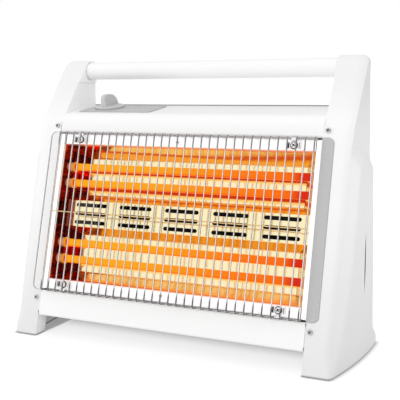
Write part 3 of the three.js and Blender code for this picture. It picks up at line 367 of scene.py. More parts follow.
class Graph:
    """A node tree, with a short call for each node that comes back often."""

    def __init__(self, tree):
        self.tree = tree

    def feed(self, socket, value):
        if isinstance(value, bpy.types.NodeSocket):
            self.tree.links.new(value, socket)
        else:
            socket.default_value = value

    def node(self, kind, settings=None, **inputs):
        """Inputs are given by name, with _ for a space, or as i0, i1 and so on."""
        made = self.tree.nodes.new(kind)
        for key, value in (settings or {}).items():
            setattr(made, key, value)
        for key, value in inputs.items():
            label = int(key[1:]) if key[1:].isdigit() else key.replace("_", " ")
            self.feed(made.inputs[label], value)
        return made

    def maths(self, operation, a, b=0.0, clamped=False):
        settings = {"operation": operation, "use_clamp": clamped}
        return self.node("ShaderNodeMath", settings, i0=a, i1=b).outputs[0]

    def plus(self, a, b, clamped=False):
        return self.maths("ADD", a, b, clamped)

    def minus(self, a, b):
        return self.maths("SUBTRACT", a, b)

    def times(self, first, *others):
        for other in others:
            first = self.maths("MULTIPLY", first, other)
        return first

    def highest(self, first, *others):
        for other in others:
            first = self.maths("MAXIMUM", first, other)
        return first

    def size(self, value):
        return self.maths("ABSOLUTE", value)

    def mix(self, share, a, b):
        return self.node("ShaderNodeMix", {"data_type": "RGBA"}, i0=share, i6=a, i7=b).outputs[2]

    def ramp(self, value, start, end):
        """From 0 at start to 1 at end, softly; start may be the higher of the two."""
        return self.node("ShaderNodeMapRange", {"interpolation_type": "SMOOTHSTEP"},
                         Value=value, From_Min=start, From_Max=end).outputs[0]

    def band(self, value, rising, falling):
        return self.times(self.ramp(value, *rising), self.ramp(value, *falling))

    def noise(self, vector, scale, detail=2.0):
        made = self.node("ShaderNodeTexNoise", Vector=vector, Scale=scale, Detail=detail)
        return made.outputs["Fac"]

    def swing(self, value, amount):
        """A noise value turned into a change of up to half the amount, up or down."""
        return self.times(self.minus(value, 0.5), amount)

    def vector(self, operation, a, b, output=0):
        return self.node("ShaderNodeVectorMath", {"operation": operation}, i0=a, i1=b).outputs[output]

    def bump(self, strength, distance, height):
        made = self.node("ShaderNodeBump", Strength=strength, Distance=distance, Height=height)
        return made.outputs["Normal"]

    def spot(self):
        return self.node("ShaderNodeTexCoord").outputs["Object"]

    def facing(self):
        return self.node("ShaderNodeNewGeometry").outputs["Normal"]

    def axes(self, vector):
        return self.node("ShaderNodeSeparateXYZ", Vector=vector).outputs

    def results(self, **values):
        """Gives a group its outputs."""
        for label in values:
            kind = "NodeSocket" + OUTPUT_KINDS.get(label, "Float")
            self.tree.interface.new_socket(label.replace("_", " "), in_out="OUTPUT", socket_type=kind)
        self.node("NodeGroupOutput", **values)


def new_group(name, inputs):
    """The graph of a new group and its given values. A default tells the kind of its input."""
    tree = bpy.data.node_groups.new(name, "ShaderNodeTree")
    for label, value in inputs.items():
        kind = {3: "Vector", 4: "Color"}[len(value)] if isinstance(value, tuple) else "Float"
        socket = tree.interface.new_socket(label, in_out="INPUT", socket_type="NodeSocket" + kind)
        socket.default_value = value
    print("group:", name, "with", ", ".join(inputs))
    return Graph(tree), tree.nodes.new("NodeGroupInput").outputs


# %% Group: moulded and enamelled surfaces, with a painted shade or light that changes with height
g, given = new_group("moulded_surface", {
    "Colour": grey(0.9), "Low Colour": grey(0.8), "Low Height": 0.1,
    "Grain Scale": 900.0, "Grain Depth": 0.1, "Roughness": 0.35})
surface_group = g.tree
spot = g.spot()
drift, patches = g.noise(spot, 7.0, 3.0), g.noise(spot, 40.0, 4.0)
# Painted shade or light: the tone changes from the floor up to the low height, with a little drift.
painted_height_tone = g.maths("DIVIDE", g.axes(spot)["Z"], given["Low Height"], clamped=True)
painted_height_tone = g.plus(painted_height_tone, g.swing(drift, 0.25), clamped=True)
g.results(Colour=g.mix(painted_height_tone, given["Low Colour"], given["Colour"]),
          Roughness=g.plus(given["Roughness"], g.swing(patches, 0.16), clamped=True),
          Normal=g.bump(given["Grain Depth"], 0.0002, g.noise(spot, given["Grain Scale"])))

# %% Group: drawn and brushed metal
g, given = new_group("drawn_metal", {
    "Colour": grey(0.6), "Stretch": (1, 1, 1), "Line Scale": 1200.0, "Line Depth": 0.1,
    "Roughness": 0.3, "Spread": 0.1})
drawn_group = g.tree
drawn_line_dark = grey(0.12)
lines = g.noise(g.vector("MULTIPLY", g.spot(), given["Stretch"]), given["Line Scale"], 3.0)
shade = g.plus(g.swing(lines, 0.35), 0.95, clamped=True)
g.results(Colour=g.mix(shade, drawn_line_dark, given["Colour"]),
          Roughness=g.plus(given["Roughness"], g.swing(lines, given["Spread"]), clamped=True),
          Normal=g.bump(given["Line Depth"], 0.0001, lines))

# %% [markdown]
# The polished sheet mirrors the tubes, and its colour carries a painted reflection of their glow:
# cool on the flange, warm in the troughs, with a painted glow of its own on the walls of the troughs,
# one at their hot bottom and a painted red fringe where an outer wall begins. The flange gets a faint
# painted light. All of these are measured from the leaning front: into the heater, and up or down
# from the middle of the opening.

# %% Group: thin polished sheet, with a painted warm glow that comes up with depth
amber = (1, 0.8, 0.4, 1)
g, given = new_group("polished_sheet", {
    "Cool Colour": grey(0.9), "Warm Colour": amber, "Tint From": 0.0022, "Tint To": 0.008,
    "Heat Colour": amber, "Wall Colour": amber, "Wave Depth": 0.1, "Roughness": 0.12})
sheet_group = g.tree
trough_middle, fringe_glow_red = 0.056, (0.85, 0.16, 0.08, 1)
spot = g.spot()
rise = g.minus(g.axes(spot)["Z"], opening_middle * mm)
run = g.minus(g.axes(spot)["Y"], plane_y * mm)
into = g.minus(g.times(run, cos(lean)), g.times(rise, sin(lean)))
off = g.size(g.plus(g.times(rise, cos(lean)), g.times(run, sin(lean))))
# Painted reflection of the glow: the colour warms with depth into the troughs.
warm = g.ramp(into, given["Tint From"], given["Tint To"])
cool = g.minus(1.0, warm)
hot_bottom_glow = g.times(g.ramp(g.size(g.minus(off, trough_middle)), 0.012, 0.007),
                 g.ramp(into, 0.024, 0.027))
outer_wall, inner_wall = g.ramp(off, 0.0835, 0.0865), g.band(off, (0.0183, 0.0203), (0.0305, 0.0275))
glow_toned = g.mix(g.plus(outer_wall, inner_wall), given["Warm Colour"], given["Wall Colour"])
glow_toned = g.mix(hot_bottom_glow, glow_toned, given["Heat Colour"])
toned = g.mix(warm, given["Cool Colour"], glow_toned)
fringe = g.times(g.band(into, (0.0028, 0.0045), (0.011, 0.0065)), g.ramp(off, 0.0865, 0.0895), 0.75)
waves = g.noise(g.vector("MULTIPLY", spot, (1.0, 0.25, 0.25)), 38.0)
smear = g.swing(g.noise(spot, 90.0, 4.0), 0.05)
rim_rough = g.plus(given["Roughness"], g.times(cool, 0.28))
# Lit Rim is painted light: a faint emission on the flange, as if lit by the tubes.
g.results(Colour=g.mix(fringe, toned, fringe_glow_red), Roughness=g.plus(rim_rough, smear, clamped=True),
          Normal=g.bump(given["Wave Depth"], 0.002, waves), Metal=g.plus(g.times(warm, 0.3), 0.7),
          Lit_Rim=g.times(cool, g.ramp(into, 0.0011, 0.0015), 0.2))

# %% Group: the glow along a tube
g, given = new_group("tube_glow", {
    "Hot": (1, 0.3, 0, 1), "Warm": (1, 0.1, 0, 1), "Red": (0.9, 0, 0, 1),
    "Halo": (1, 0.8, 0.3, 1), "Back": (0.8, 0.1, 0, 1), "Turn Pitch": 0.0055})
glow_group = g.tree
spot, facing = g.spot(), g.facing()
along, under = g.axes(spot)["X"], g.ramp(g.axes(facing)["Z"], -0.95, -0.3)
cooling = g.plus(g.ramp(along, -0.1, 0.17), g.minus(1.0, under), clamped=True)
ends = g.highest(g.ramp(along, 0.15, 0.176), g.ramp(along, -0.1735, -0.1765))
side = g.mix(ends, g.mix(cooling, given["Hot"], given["Warm"]), given["Red"])
inward = g.vector("DOT_PRODUCT", facing, (0, cos(lean), -sin(lean)), "Value")
upward = g.vector("DOT_PRODUCT", facing, (0, sin(lean), cos(lean)), "Value")
outer = g.plus(inward, g.times(g.size(upward), 0.4))
halo = g.mix(g.ramp(outer, 0.28, 0.5), side, given["Halo"])
toned = g.mix(g.ramp(inward, 0.7, 0.85), halo, given["Back"])
turns = g.maths("SINE", g.maths("DIVIDE", g.times(along, 2 * pi), given["Turn Pitch"]))
ringed = g.mix(g.plus(g.times(turns, 0.05), 0.95), given["Red"], toned)
g.results(Glow=ringed, Normal=g.bump(0.05, 0.0003, g.noise(spot, 300.0)))

# %% [markdown]
# ## Materials
#
# The body is white, but in three whites: smooth satin enamel on the sheet, a moulded plastic
# with a fine grain on the cheeks, and a brushed side strip, one metal that is painted pale on
# the left and grey on the right for light and shade. The plate and the knob are grey.
# Metals are metallic, so their colour is the colour of what they mirror.

# %% Making a material
SHADER_INPUTS = {"Colour": "Base Color", "Glow": "Emission Color", "Roughness": "Roughness",
                 "Normal": "Normal", "Metal": "Metallic", "Lit Rim": "Emission Strength"}
# The colour of the painted light on the flange of the reflector.
rim_glow_white = (1.0, 0.96, 0.95, 1)


def shader_material(name, **values):
    material = bpy.data.materials.new(name)
    material.use_nodes = True
    shader = material.node_tree.nodes["Principled BSDF"]
    for key, value in values.items():
        shader.inputs[key.replace("_", " ")].default_value = value
    print("material:", name)
    return material, Graph(material.node_tree), shader


def surfaced(name, group, shading, **values):
    """A material that takes from one of the groups all that the group gives."""
    material, graph, shader = shader_material(name, **shading)
    for output in graph.node("ShaderNodeGroup", {"node_tree": group}, **values).outputs:
        graph.feed(shader.inputs[SHADER_INPUTS[output.name]], output)
    return material


def moulded(name, colour, low_colour, low_height, scale, depth, roughness, **shading):
    """Painted shade or light by height: the tone goes from the low colour at the floor to colour at
    low_height, in metres.
    """
    return surfaced(name, surface_group, shading, Colour=colour, Low_Colour=low_colour,
                    Low_Height=low_height, Grain_Scale=scale, Grain_Depth=depth, Roughness=roughness)


def drawn(name, metallic, colour, stretch, scale, depth, roughness, spread):
    """The lines are long in the direction where stretch is low."""
    return surfaced(name, drawn_group, {"Metallic": metallic}, Colour=colour, Stretch=stretch,
                    Line_Scale=scale, Line_Depth=depth, Roughness=roughness, Spread=spread)


def opened(material):
    """The graph of a material, its shader, and the colour that it has so far."""
    shader = material.node_tree.nodes["Principled BSDF"]
    return Graph(material.node_tree), shader, shader.inputs["Base Color"].links[0].from_socket


# %% Mouldings, enamel and print
# The plastic is painted darker towards the floor: painted shade.
white_plastic = moulded("white_plastic", grey(0.9), grey(0.78), 0.2, 1400.0, 0.06, 0.42,
                        Specular_IOR_Level=0.4)
# The enamel is painted lighter towards the floor: painted light.
enamel = grey(0.9), grey(0.94), 0.2, 1500.0, 0.0, 0.4
white_enamel, wall_enamel = (moulded(name, *enamel, Specular_IOR_Level=0.5, Coat_Weight=0.15)
                             for name in ("white_enamel", "wall_enamel"))
knob_grey = moulded("knob_grey", grey(0.58), grey(0.58), 0.1, 1600.0, 0.12, 0.45,
                    Specular_IOR_Level=0.4)
# A dark grey for painted shade: strips, gaps and backings that stand in for shade.
painted_shade_grey = moulded("painted_shade_grey", grey(0.14), grey(0.14), 0.1, 1500.0, 0.1, 0.5)
# Black for print, and for painted shade in the slit, the screw crosses and under the clamps.
print_and_shade_black = moulded("print_and_shade_black", grey(0.02), grey(0.02), 0.1, 2500.0, 0.1, 0.6)
black_plastic = moulded("black_plastic", grey(0.03), grey(0.03), 0.1, 1200.0, 0.15, 0.5)
terracotta = (0.86, 0.4, 0.23, 1)
# The ceramic has a painted glow: a faint one all over, and an orange one at the rims of the tube
# caps.
ceramic = moulded("ceramic", terracotta, terracotta, 0.1, 900.0, 0.25, 0.7,
                  Specular_IOR_Level=0.3, Emission_Strength=0.7)

# %% Metals and the sleeve of the leads
# The two side strips are one brushed metal: the right copy is painted shade, the left painted light.
strip_grey = drawn("strip_grey", 0.25, grey(0.54), (1, 1, 0.04), 1500.0, 0.08, 0.42, 0.1)
strip_painted_light = drawn("strip_painted_light", 0.1, grey(0.88), (1, 1, 0.04), 1500.0, 0.05, 0.4, 0.1)
plate_grey = drawn("plate_grey", 0.2, grey(0.56), (0.04, 1, 1), 1500.0, 0.08, 0.42, 0.12)
chrome_wire = drawn("chrome_wire", 1.0, (0.95, 0.94, 0.95, 1), (1, 0.05, 0.05), 900.0, 0.05,
                    0.14, 0.1)
straw_wire = drawn("straw_wire", 1.0, (0.78, 0.6, 0.28, 1), (0.05, 1, 1), 900.0, 0.05, 0.2, 0.1)
zinc_steel = drawn("zinc_steel", 1.0, grey(0.62), (1, 1, 1), 260.0, 0.1, 0.24, 0.2)
glass_sleeve = drawn("glass_sleeve", 0.0, (0.24, 0.09, 0.06, 1), (1, 1, 1), 1600.0, 0.5, 0.8, 0.1)
# Painted reflection of the glow: gold in the troughs, and dark red on the left end plate.
cool_white, glow_gold, red_glow_dusk = (1.0, 0.99, 1.0, 1), (1.0, 0.87, 0.54, 1), (0.22, 0.011, 0.012, 1)
polished = {"Emission_Color": rim_glow_white}
mirror_steel = surfaced("mirror_steel", sheet_group, polished, Cool_Colour=cool_white,
                        Warm_Colour=glow_gold, Heat_Colour=glow_gold, Wall_Colour=(0.95, 0.58, 0.16, 1),
                        Wave_Depth=0.12, Roughness=0.1)
# The left end plate is the same steel as the right one, with a painted dark red reflection of the
# glow.
left_end_glow_steel = surfaced("left_end_glow_steel", sheet_group, polished, Cool_Colour=cool_white, Warm_Colour=red_glow_dusk,
                     Heat_Colour=(0.8, 0.006, 0.004, 1), Wall_Colour=red_glow_dusk, Tint_To=0.0036,
                     Wave_Depth=0.1, Roughness=0.08)

# %% What glows
quartz = surfaced("quartz", glow_group,
                  {"Roughness": 0.3, "Specular_IOR_Level": 0.1,
                   "Base_Color": (0.05, 0.01, 0.002, 1), "Emission_Strength": 1.0},
                  Hot=(0.95, 0.40, 0.008, 1), Warm=(0.95, 0.15, 0.0, 1), Red=(0.66, 0.014, 0.002, 1),
                  Halo=(1.0, 0.72, 0.28, 1), Back=(0.6, 0.03, 0.0, 1))
glowing_coil = surfaced("glowing_coil", glow_group,
                        {"Roughness": 0.6, "Base_Color": (0.3, 0.1, 0.05, 1),
                         "Emission_Strength": 1.5},
                        Hot=(1.0, 0.34, 0.02, 1), Warm=(1.0, 0.2, 0.0, 1), Red=(0.3, 0.0, 0.0, 1),
                        Halo=(1.0, 0.34, 0.02, 1), Back=(0.9, 0.15, 0.0, 1))

# %% Painted light and shade by place: cheeks, back of the wall, ends of the wires, rims of the caps
g, shader, toned = opened(white_plastic)
place = g.axes(g.spot())
# Cheeks: painted shade on the head, painted light on the inner sides, painted shadow along the sole.
inner_side_painted_light = g.ramp(g.times(place["X"], g.axes(g.facing())["X"]), -0.12, -0.18)
head_painted_shade, sole_painted_shadow = grey(0.82), grey(0.3)
toned = g.mix(g.ramp(place["Z"], 0.29, 0.37), toned, head_painted_shade)
toned = g.mix(inner_side_painted_light, toned, grey(1.0))
g.feed(shader.inputs["Base Color"], g.mix(g.ramp(place["Z"], 0.0035, 0.0008), toned, sole_painted_shadow))

g, shader, toned = opened(wall_enamel)
# Painted shade: the faces that look into the heater are near black, so the vent slots show dark.
outside, painted_inner_shade = g.ramp(g.axes(g.facing())["Y"], -0.9, -0.4), grey(0.05)
g.feed(shader.inputs["Base Color"], g.mix(outside, painted_inner_shade, toned))

g, shader, toned = opened(chrome_wire)
# Painted shade: the wires are darker towards their bent ends at the top and the bottom.
level, upper_ends_painted_shade, lower_ends_painted_shade = g.axes(g.spot())["Z"], grey(0.4), grey(0.2)
toned = g.mix(g.ramp(level, 0.268, 0.276), toned, upper_ends_painted_shade)
g.feed(shader.inputs["Base Color"], g.mix(g.ramp(level, 0.085, 0.077), toned, lower_ends_painted_shade))

g, shader, toned = opened(ceramic)
# Painted light: the rims of the caps next to the tubes glow orange, as if lit by the tubes.
lit_rim = g.ramp(g.size(g.axes(g.spot())["X"]), 0.1822, 0.1808)
rim_colour, cap_painted_glow, rim_painted_glow = (0.4, 0.14, 0.01, 1), (0.02, 0.005, 0.0, 1), (0.7, 0.25, 0.0, 1)
g.feed(shader.inputs["Base Color"], g.mix(lit_rim, toned, rim_colour))
g.feed(shader.inputs["Emission Color"], g.mix(lit_rim, cap_painted_glow, rim_painted_glow))
print("materials:", len(bpy.data.materials))

# %% [markdown]
# ## The cheeks
#
# Each cheek is one moulding with a flat front that leans with the heater, a soft edge
# line, a chamfer band, a side that swells low down and steps back under an arch, and a foot that
# flares. Modelling that by hand would take many loops. Here a plain grid is wrapped round
# the cheek instead: one direction of the grid runs round the plan outline, the other runs up,
# and a few formulas say how far out the side reaches at each place.

# %% How far the side reaches
top_round = 10.5


def front_line(z):
    change = tan(head_lean) - tan(lean)
    start = kink - kink_round
    bend = clamp(z - start, 0, 2 * kink_round)
    beyond = max(z - start - 2 * kink_round, 0)
    return front_foot + z * tan(lean) + change * (bend ** 2 / (4 * kink_round) + beyond)


def foot_flare(z):
    return 1 - smoothstep(z, 10, 30)


def top_draw(z):
    """How far the round edge at the top draws the outline in."""
    rise = clamp(z - (height - top_round), 0, top_round) * 0.985
    return top_round - sqrt(top_round ** 2 - rise ** 2)


def back_line(z):
    return body_back + rear_flare * foot_flare(z)


def groove_at(z):
    """How far out the soft line at the edge of the flat front lies."""
    body = 32.6 + 5 * z / height + 1.7 * smoothstep(z, 266, 295)
    return lerp(body, 35.3, foot_flare(z))


def drop_at(z):
    """How far back the front has dropped at that line."""
    return lerp(5, 2, foot_flare(z))


def arch_at(share):
    """The height of the arch over the side, by the share of the way from front to back."""
    if share < 0.3:
        return lerp(276, 262, ((0.3 - share) / 0.3) ** 2)
    return lerp(276, 249, ((share - 0.3) / 0.7) ** 1.8)


def soft_min(a, b, reach):
    near = max(reach - abs(a - b), 0) / reach
    return min(a, b) - near ** 2 * reach / 4


def side_reach(y, z):
    """How far out of the body the side reaches: below the arch it swells, above it is the head."""
    share = clamp((y - front_line(z)) / (back_line(z) - front_line(z)), 0, 1)
    up = clamp((z - 240) / (height - 240), 0, 1)
    head = lerp(groove_at(z), lerp(41.8, 37.2, up), share)
    front = lerp(47.3, 36, (1 - clamp(z / 220, 0, 1)) ** 2.7)
    rear = lerp(51, 44.4, clamp(z / 240, 0, 1) ** 1.35) + 2 * foot_flare(z)
    bow = lerp(6.6, 3, smoothstep(z, 0, 60))
    side = lerp(front, rear, share) + 4 * bow * share * (1 - share)
    band = groove_at(z) + (y - front_line(z) - drop_at(z)) * 1.05
    arch = head + (arch_at(share) - z) * 0.5
    return -soft_min(-head, -soft_min(soft_min(side, band, 2.4), arch, 2.4), 1.2)


# %% A point of the skin
edge_round, rounded = 0.5, 0.3


def skin_point(part, z, inset=0, inner=0):
    """part is where along the plan outline: 0 at the body, in front, to 6 at the body, behind."""
    top = top_draw(z)
    drawn_in, shift = inset + top, inset + top / 2
    front, back = front_line(z) + shift, back_line(z) - shift
    level = lerp(23, 31, foot_flare(z)) - drawn_in
    groove, drop = groove_at(z) - drawn_in, drop_at(z)
    band = min(20, (back - front) * 0.4)
    corner_round = min(12 - inset, (back - front) * 0.3)
    corner = back - corner_round
    reach_back = side_reach(corner, z) - drawn_in
    stage = min(int(part), 5)
    t = part - stage
    if part < rounded:
        turn = part / rounded * pi / 2
        x, y = inner + edge_round * (1 - cos(turn)), front + edge_round * (1 - sin(turn))
    elif stage == 0:
        x, y = lerp(inner + edge_round, level, (t - rounded) / (1 - rounded)), front
    elif stage == 1:
        x, y = lerp(level, groove, t), front + drop * t ** 2.3
    elif stage == 2:
        into = lerp(drop, band, t)
        x, y = side_reach(front_line(z) + into, z) - drawn_in, front + into
    elif stage == 3:
        y = lerp(front + band, corner, t)
        x = side_reach(y, z) - drawn_in
    elif stage == 4:
        x = reach_back - corner_round * (1 - cos(t * pi / 2))
        y = corner + corner_round * sin(t * pi / 2)
    else:
        x, y = lerp(reach_back - corner_round, inner, t), back
    return Vector((inner_x + x, y, z))


# %% Wrapping a grid round an outline
def staged(stations, step):
    """The value at a grid line, from (line, value) stations."""
    for (line, value), (next_line, next_value) in zip(stations, stations[1:]):
        if step <= next_line:
            return lerp(value, next_value, (step - line) / (next_line - line))
    return stations[-1][1]


def wrapped(columns, rows, place):
    """Closes a grid round place(column, row): the open side, the floor and the top are filled."""
    bm = bmesh.new()
    bmesh.ops.create_grid(bm, x_segments=columns, y_segments=rows, size=0.5)
    for vert in bm.verts:
        vert.co = (round((vert.co.x + 0.5) * columns), round((vert.co.y + 0.5) * rows), 0)
    ends = [edges_at(bm, lambda co: co.x == end) for end in (0, columns)]
    bmesh.ops.bridge_loops(bm, edges=ends[0] + ends[1])
    for vert in bm.verts:
        vert.co = place(vert.co.x, vert.co.y)
    bmesh.ops.holes_fill(bm, edges=[e for e in bm.edges if e.is_boundary], sides=0)
    return outward(bm)


outline_stations = [(0, 0), (8, 0.3), (14, 1), (26, 2), (44, 3), (76, 4), (90, 5), (94, 6)]
height_stations = [(0, 0), (1, 1.2), (3, 10), (17, 30), (42, 240), (92, 290), (104, 312),
                   (116, height - top_round)]


def skin_height(row):
    if row <= 116:
        return staged(height_stations, row)
    return lerp(height - top_round, height, sin((row - 116) / 14 * pi / 2))


skin = wrapped(94, 130, lambda column, row: skin_point(
    staged(outline_stations, column), skin_height(row), inset=1.2 if row == 0 else 0))
print("cheek skin:", len(skin.faces), "faces")

# %% [markdown]
# The skin is closed, and everything that is hollow in the real moulding is taken out of it: the
# space behind its wall, the arch between the posts of the foot, the seat of the handle, the
# shallow recess of the side strip, the finger slit and the screw holes. The screws and the
# tubes then have real room inside.

# %% Hollows of the cheek
plastic = 3.2
cavity_outline = [(0, 0.3), (4, 1), (8, 2), (14, 3), (26, 4), (32, 5), (34, 6)]


def cavity(heights, inner):
    """The space behind the wall of the moulding, from (row, z) stations."""
    return wrapped(34, heights[-1][0], lambda column, row: skin_point(
        staged(cavity_outline, column), staged(heights, row), plastic, inner))


body_cavity = cavity([(0, 32), (10, 240), (20, 290), (24, 305)], -2)
head_cavity = cavity([(0, 295), (4, 311), (10, 356)], plastic)


def arch_point(column, row):
    z = lerp(-2, 28, row)
    front, back = front_line(z) + 22, body_back - 22
    y = lerp(front, back, clamp((column - 1) / 14, 0, 1))
    x = -2 if column in (0, 16) else side_reach(y, 0) - 26
    return Vector((inner_x + x, y, z))


foot_arch = wrapped(16, 1, arch_point)
handle_radius, handle_end = 12.8, inner_x + 9
seat = moved(rod(handle_radius + gap, 190, handle_end + gap, "x", 72), y=handle_y, z=handle_z)
recess = block(140, inner_x + 15.9, -30, 0.1 + 1.2 + gap, -opening_half - gap, opening_half + gap)
bevelled(recess, outer_corners(recess, 200), 8.1, 12, clamped=False)
recess.transform(panel)

slit_y, slit_z = 18, 126
slit = bmesh.new()
bmesh.ops.create_circle(slit, cap_ends=True, segments=40, radius=1)
slit_face = inner_x + side_reach(slit_y, slit_z)
for vert in slit.verts:
    across, along = vert.co.y, vert.co.x
    vert.co = (slit_face + 4, slit_y - 6 + 2.8 * across * abs(across), slit_z + 42 * along)
thick(slit, (-12, 18, 0))

screw_x, screw_ups, screw_zs = inner_x + 6.2, (125.4, -127.7), (285, 62)
screw_hole = 2, -11, 11, "y", 24
screw_holes = [moved(rod(*screw_hole), x=screw_x, z=up) for up in screw_ups]
for hole in screw_holes:
    hole.transform(panel)
screw_holes += [moved(rod(*screw_hole), x=screw_x, y=body_back, z=z) for z in screw_zs]

# %% [markdown]
# The handle's end sits in a raised pad with a low collar round it. Both are joined to the skin
# before it is hollowed.

# %% Pad and collar, then the finished cheeks
pad_rows = [(0, 363), (2, height - top_round), (12, height)]


def pad_point(column, row):
    z = staged(pad_rows, row)
    shift = top_draw(z) / 2
    y = lerp(front_line(z) + shift, back_line(z) - shift, 0 if column in (0, 3) else 1)
    x = inner_x - 2 if column < 2 else inner_x + 2
    return Vector((x, y, z))


pad = wrapped(3, 12, pad_point)
collar = moved(turned([(0, 195.8), (13.6, 195.8), (14.2, 196.4), (14.2, 203), (0, 203)], "x", 72),
               y=handle_y, z=handle_z)
hollows = [body_cavity, head_cavity, foot_arch, seat, recess, slit, *screw_holes]
cheek = carve(united(skin, [pad, collar]), hollows)
for hand, shape in (("left", mirrored(cheek)), ("right", cheek)):
    finish_piece(shape, f"cheek_{hand}", white_plastic,
                 stands_for=[f"{hand}_cheek"], crease=28)
# Painted shade: a black sheet inside the finger slit, so the slit shows dark.
slit_shade_sheet = bmesh.new()
bmesh.ops.create_grid(slit_shade_sheet, x_segments=24, y_segments=2, size=1)
for vert in slit_shade_sheet.verts:
    y, z = slit_y + 2.4 + 4.5 * vert.co.y, slit_z + 43.5 * vert.co.x
    vert.co = (inner_x + side_reach(y, z) - 1.7, y, z)
bmesh.ops.solidify(slit_shade_sheet, geom=slit_shade_sheet.faces[:], thickness=0.4)
outward(slit_shade_sheet)
finish_piece(mirrored(slit_shade_sheet), "slit_shade_left", print_and_shade_black)
finish_piece(slit_shade_sheet, "slit_shade_right", print_and_shade_black)

# %% [markdown]
# ## Handle, cover, fascia and side strips
#
# The handle is a plain enamelled tube. The cover is one sheet that makes the sloping top, rolls
# over at the front and ends in a lip that turns in above the opening. The fascia closes the
# front below the opening in the same way.

# %% Handle
handle = moved(pipe(handle_radius, handle_end, 1.8, 96), y=handle_y, z=handle_z)
tube = finish_piece(handle, "handle", white_enamel, stands_for=["handle_tube"])
print("handle Z", [round(1000 * c[2], 1) for c in (tube.bound_box[0], tube.bound_box[6])])

# %% Cover
def end_tab(points, radii, thickness=1):
    """The flat end that closes a folded sheet: its profile as one face, with thickness."""
    bm = flat([(-thickness / 2, y, z) for y, z in points])
    for (y, z), radius in zip(points[1:-1], radii):
        corner = [v for v in bm.verts if abs(v.co.y - y) + abs(v.co.z - z) < 1e-4]
        before, after = [e.other_vert(corner[0]).co - corner[0].co for e in corner[0].link_edges]
        turn = pi - before.angle(after)
        bevelled(bm, corner, radius * tan(turn / 2), 8, "VERTICES")
    return thick(bm, (thickness, 0, 0))


corner_rise = cover_back - (body_back - front_foot) * tan(slope)
corner_z = corner_rise / (1 - tan(lean) * tan(slope))
cover_corner = (front_foot + corner_z * tan(lean), corner_z)
half_width = inner_x - gap
cover_half = inner_x + 0.4
cover_bends = [3, 20, 3]
sheet, lip, turn_down = 1.2, 13, 16


def cover_profile(slack=0):
    back = body_back - slack
    return [on_plane(lip, opening_half), on_plane(slack, opening_half), cover_corner,
            (back, cover_back - slack), (back, cover_back - turn_down)]


cover = folded_sheet(cover_profile(), cover_bends, -cover_half, cover_half, sheet, inside=(20, 250))
neck = rod(5, -30, 30, "z", 32)
neck.transform(control)
for side in (-1, 1):
    add_to(cover, moved(end_tab(cover_profile(0.05), cover_bends), x=side * (cover_half - 0.6)))
finish_piece(carve(cover, [neck]), "cover", white_enamel,
             stands_for=["top_cover"], crease=25)
# Painted shade: a dark strip along the back edge of the cover, standing in for the shade there.
back_edge_shade = block(-inner_x + 1, inner_x - 1, body_back - 1.6, body_back - 0.2,
            cover_back - 1.2, cover_back + 0.7, 0.3)
finish_piece(back_edge_shade, "cover_back_edge_shade", painted_shade_grey)

# %% Fascia
foot_low = 28.5
foot_y = front_line(foot_low)
fascia = folded_sheet([(foot_y + lip, foot_low), (foot_y, foot_low), on_plane(0, -opening_half),
                       on_plane(lip, -opening_half)],
                      [3, 3], -half_width, half_width, sheet, inside=(-40, 50))
finish_piece(fascia, "fascia", white_enamel, stands_for=["lower_fascia"], crease=25)
# Painted shade: thin dark blocks in the seams at the ends of the fascia and the cover, for their
# shadow gaps.
seam_shades = bmesh.new()
for x, low in ((inner_x - 0.1, 58), (inner_x - 0.1, 29.5), (-inner_x + 0.1, 30)):
    face = front_line(low + 2)
    add_to(seam_shades, block(x - 0.45, x + 0.45, face - 0.1, face + 1.4, low, low + 5))
cover_seam_shade = block(-inner_x - 0.3, -inner_x + 0.2, -0.12, 1.2, opening_half + 0.5, opening_half + 15)
cover_seam_shade.transform(panel)
finish_piece(add_to(seam_shades, cover_seam_shade), "seam_shades", painted_shade_grey)

# %% Side strips
def side_strip(reach, near, far, rim=0.3):
    half = opening_half - 0.8
    strip = block(inner_x - 2 * gap, inner_x + reach, near, far, -half, half)
    bevelled(strip, outer_corners(strip, inner_x + 5), 7.8, 12, clamped=False)
    bevelled(strip, edges_at(strip, lambda co: co.y < near + 0.1), rim)
    return strip


finish_piece(mirrored(side_strip(14.0, 0.1, 1.1)), "strip_left", strip_painted_light, panel,
             stands_for=["left_side_strip"])
# Painted shade: a dark plate behind the left strip, so the gap round it shows dark.
finish_piece(mirrored(side_strip(15.4, 1.2, 1.5, 0.05)), "strip_left_shade_backing", painted_shade_grey,
             panel)
finish_piece(side_strip(15.4, 0.1, 1.3), "strip_right", strip_grey, panel,
             stands_for=["right_side_strip"])

# %% [markdown]
# ## Rear wall and base
#
# The rear wall is flat sheet with four rows of vent slots; the base plate has two. Each slot is
# cut with a bar that has round ends, and the sheet's rim is turned in at the bottom.

# %% Rear wall
back_face = body_back - 0.4
vent_length, vent_width, vent_xs = 26, 4, [place * 38 for place in range(-3, 4)]
wall = block(-half_width, half_width, back_face - 1, back_face, foot_low,
             cover_back - turn_down - gap)
turned_in = block(-half_width, half_width, back_face - lip, back_face - 0.5,
                  foot_low, foot_low + 1)
vents = [moved(slot_cutter(vent_length, vent_width, 6), x=x, y=back_face, z=z)
         for z in (92, 106, 262, 276) for x in vent_xs]
vents.append(moved(rod(5.5 + gap, 60, 100, "y", 40), x=-140, z=48))
rear = carve(united(wall, [turned_in]), vents)
finish_piece(rear, "rear_wall", wall_enamel, stands_for=["back_panel"])

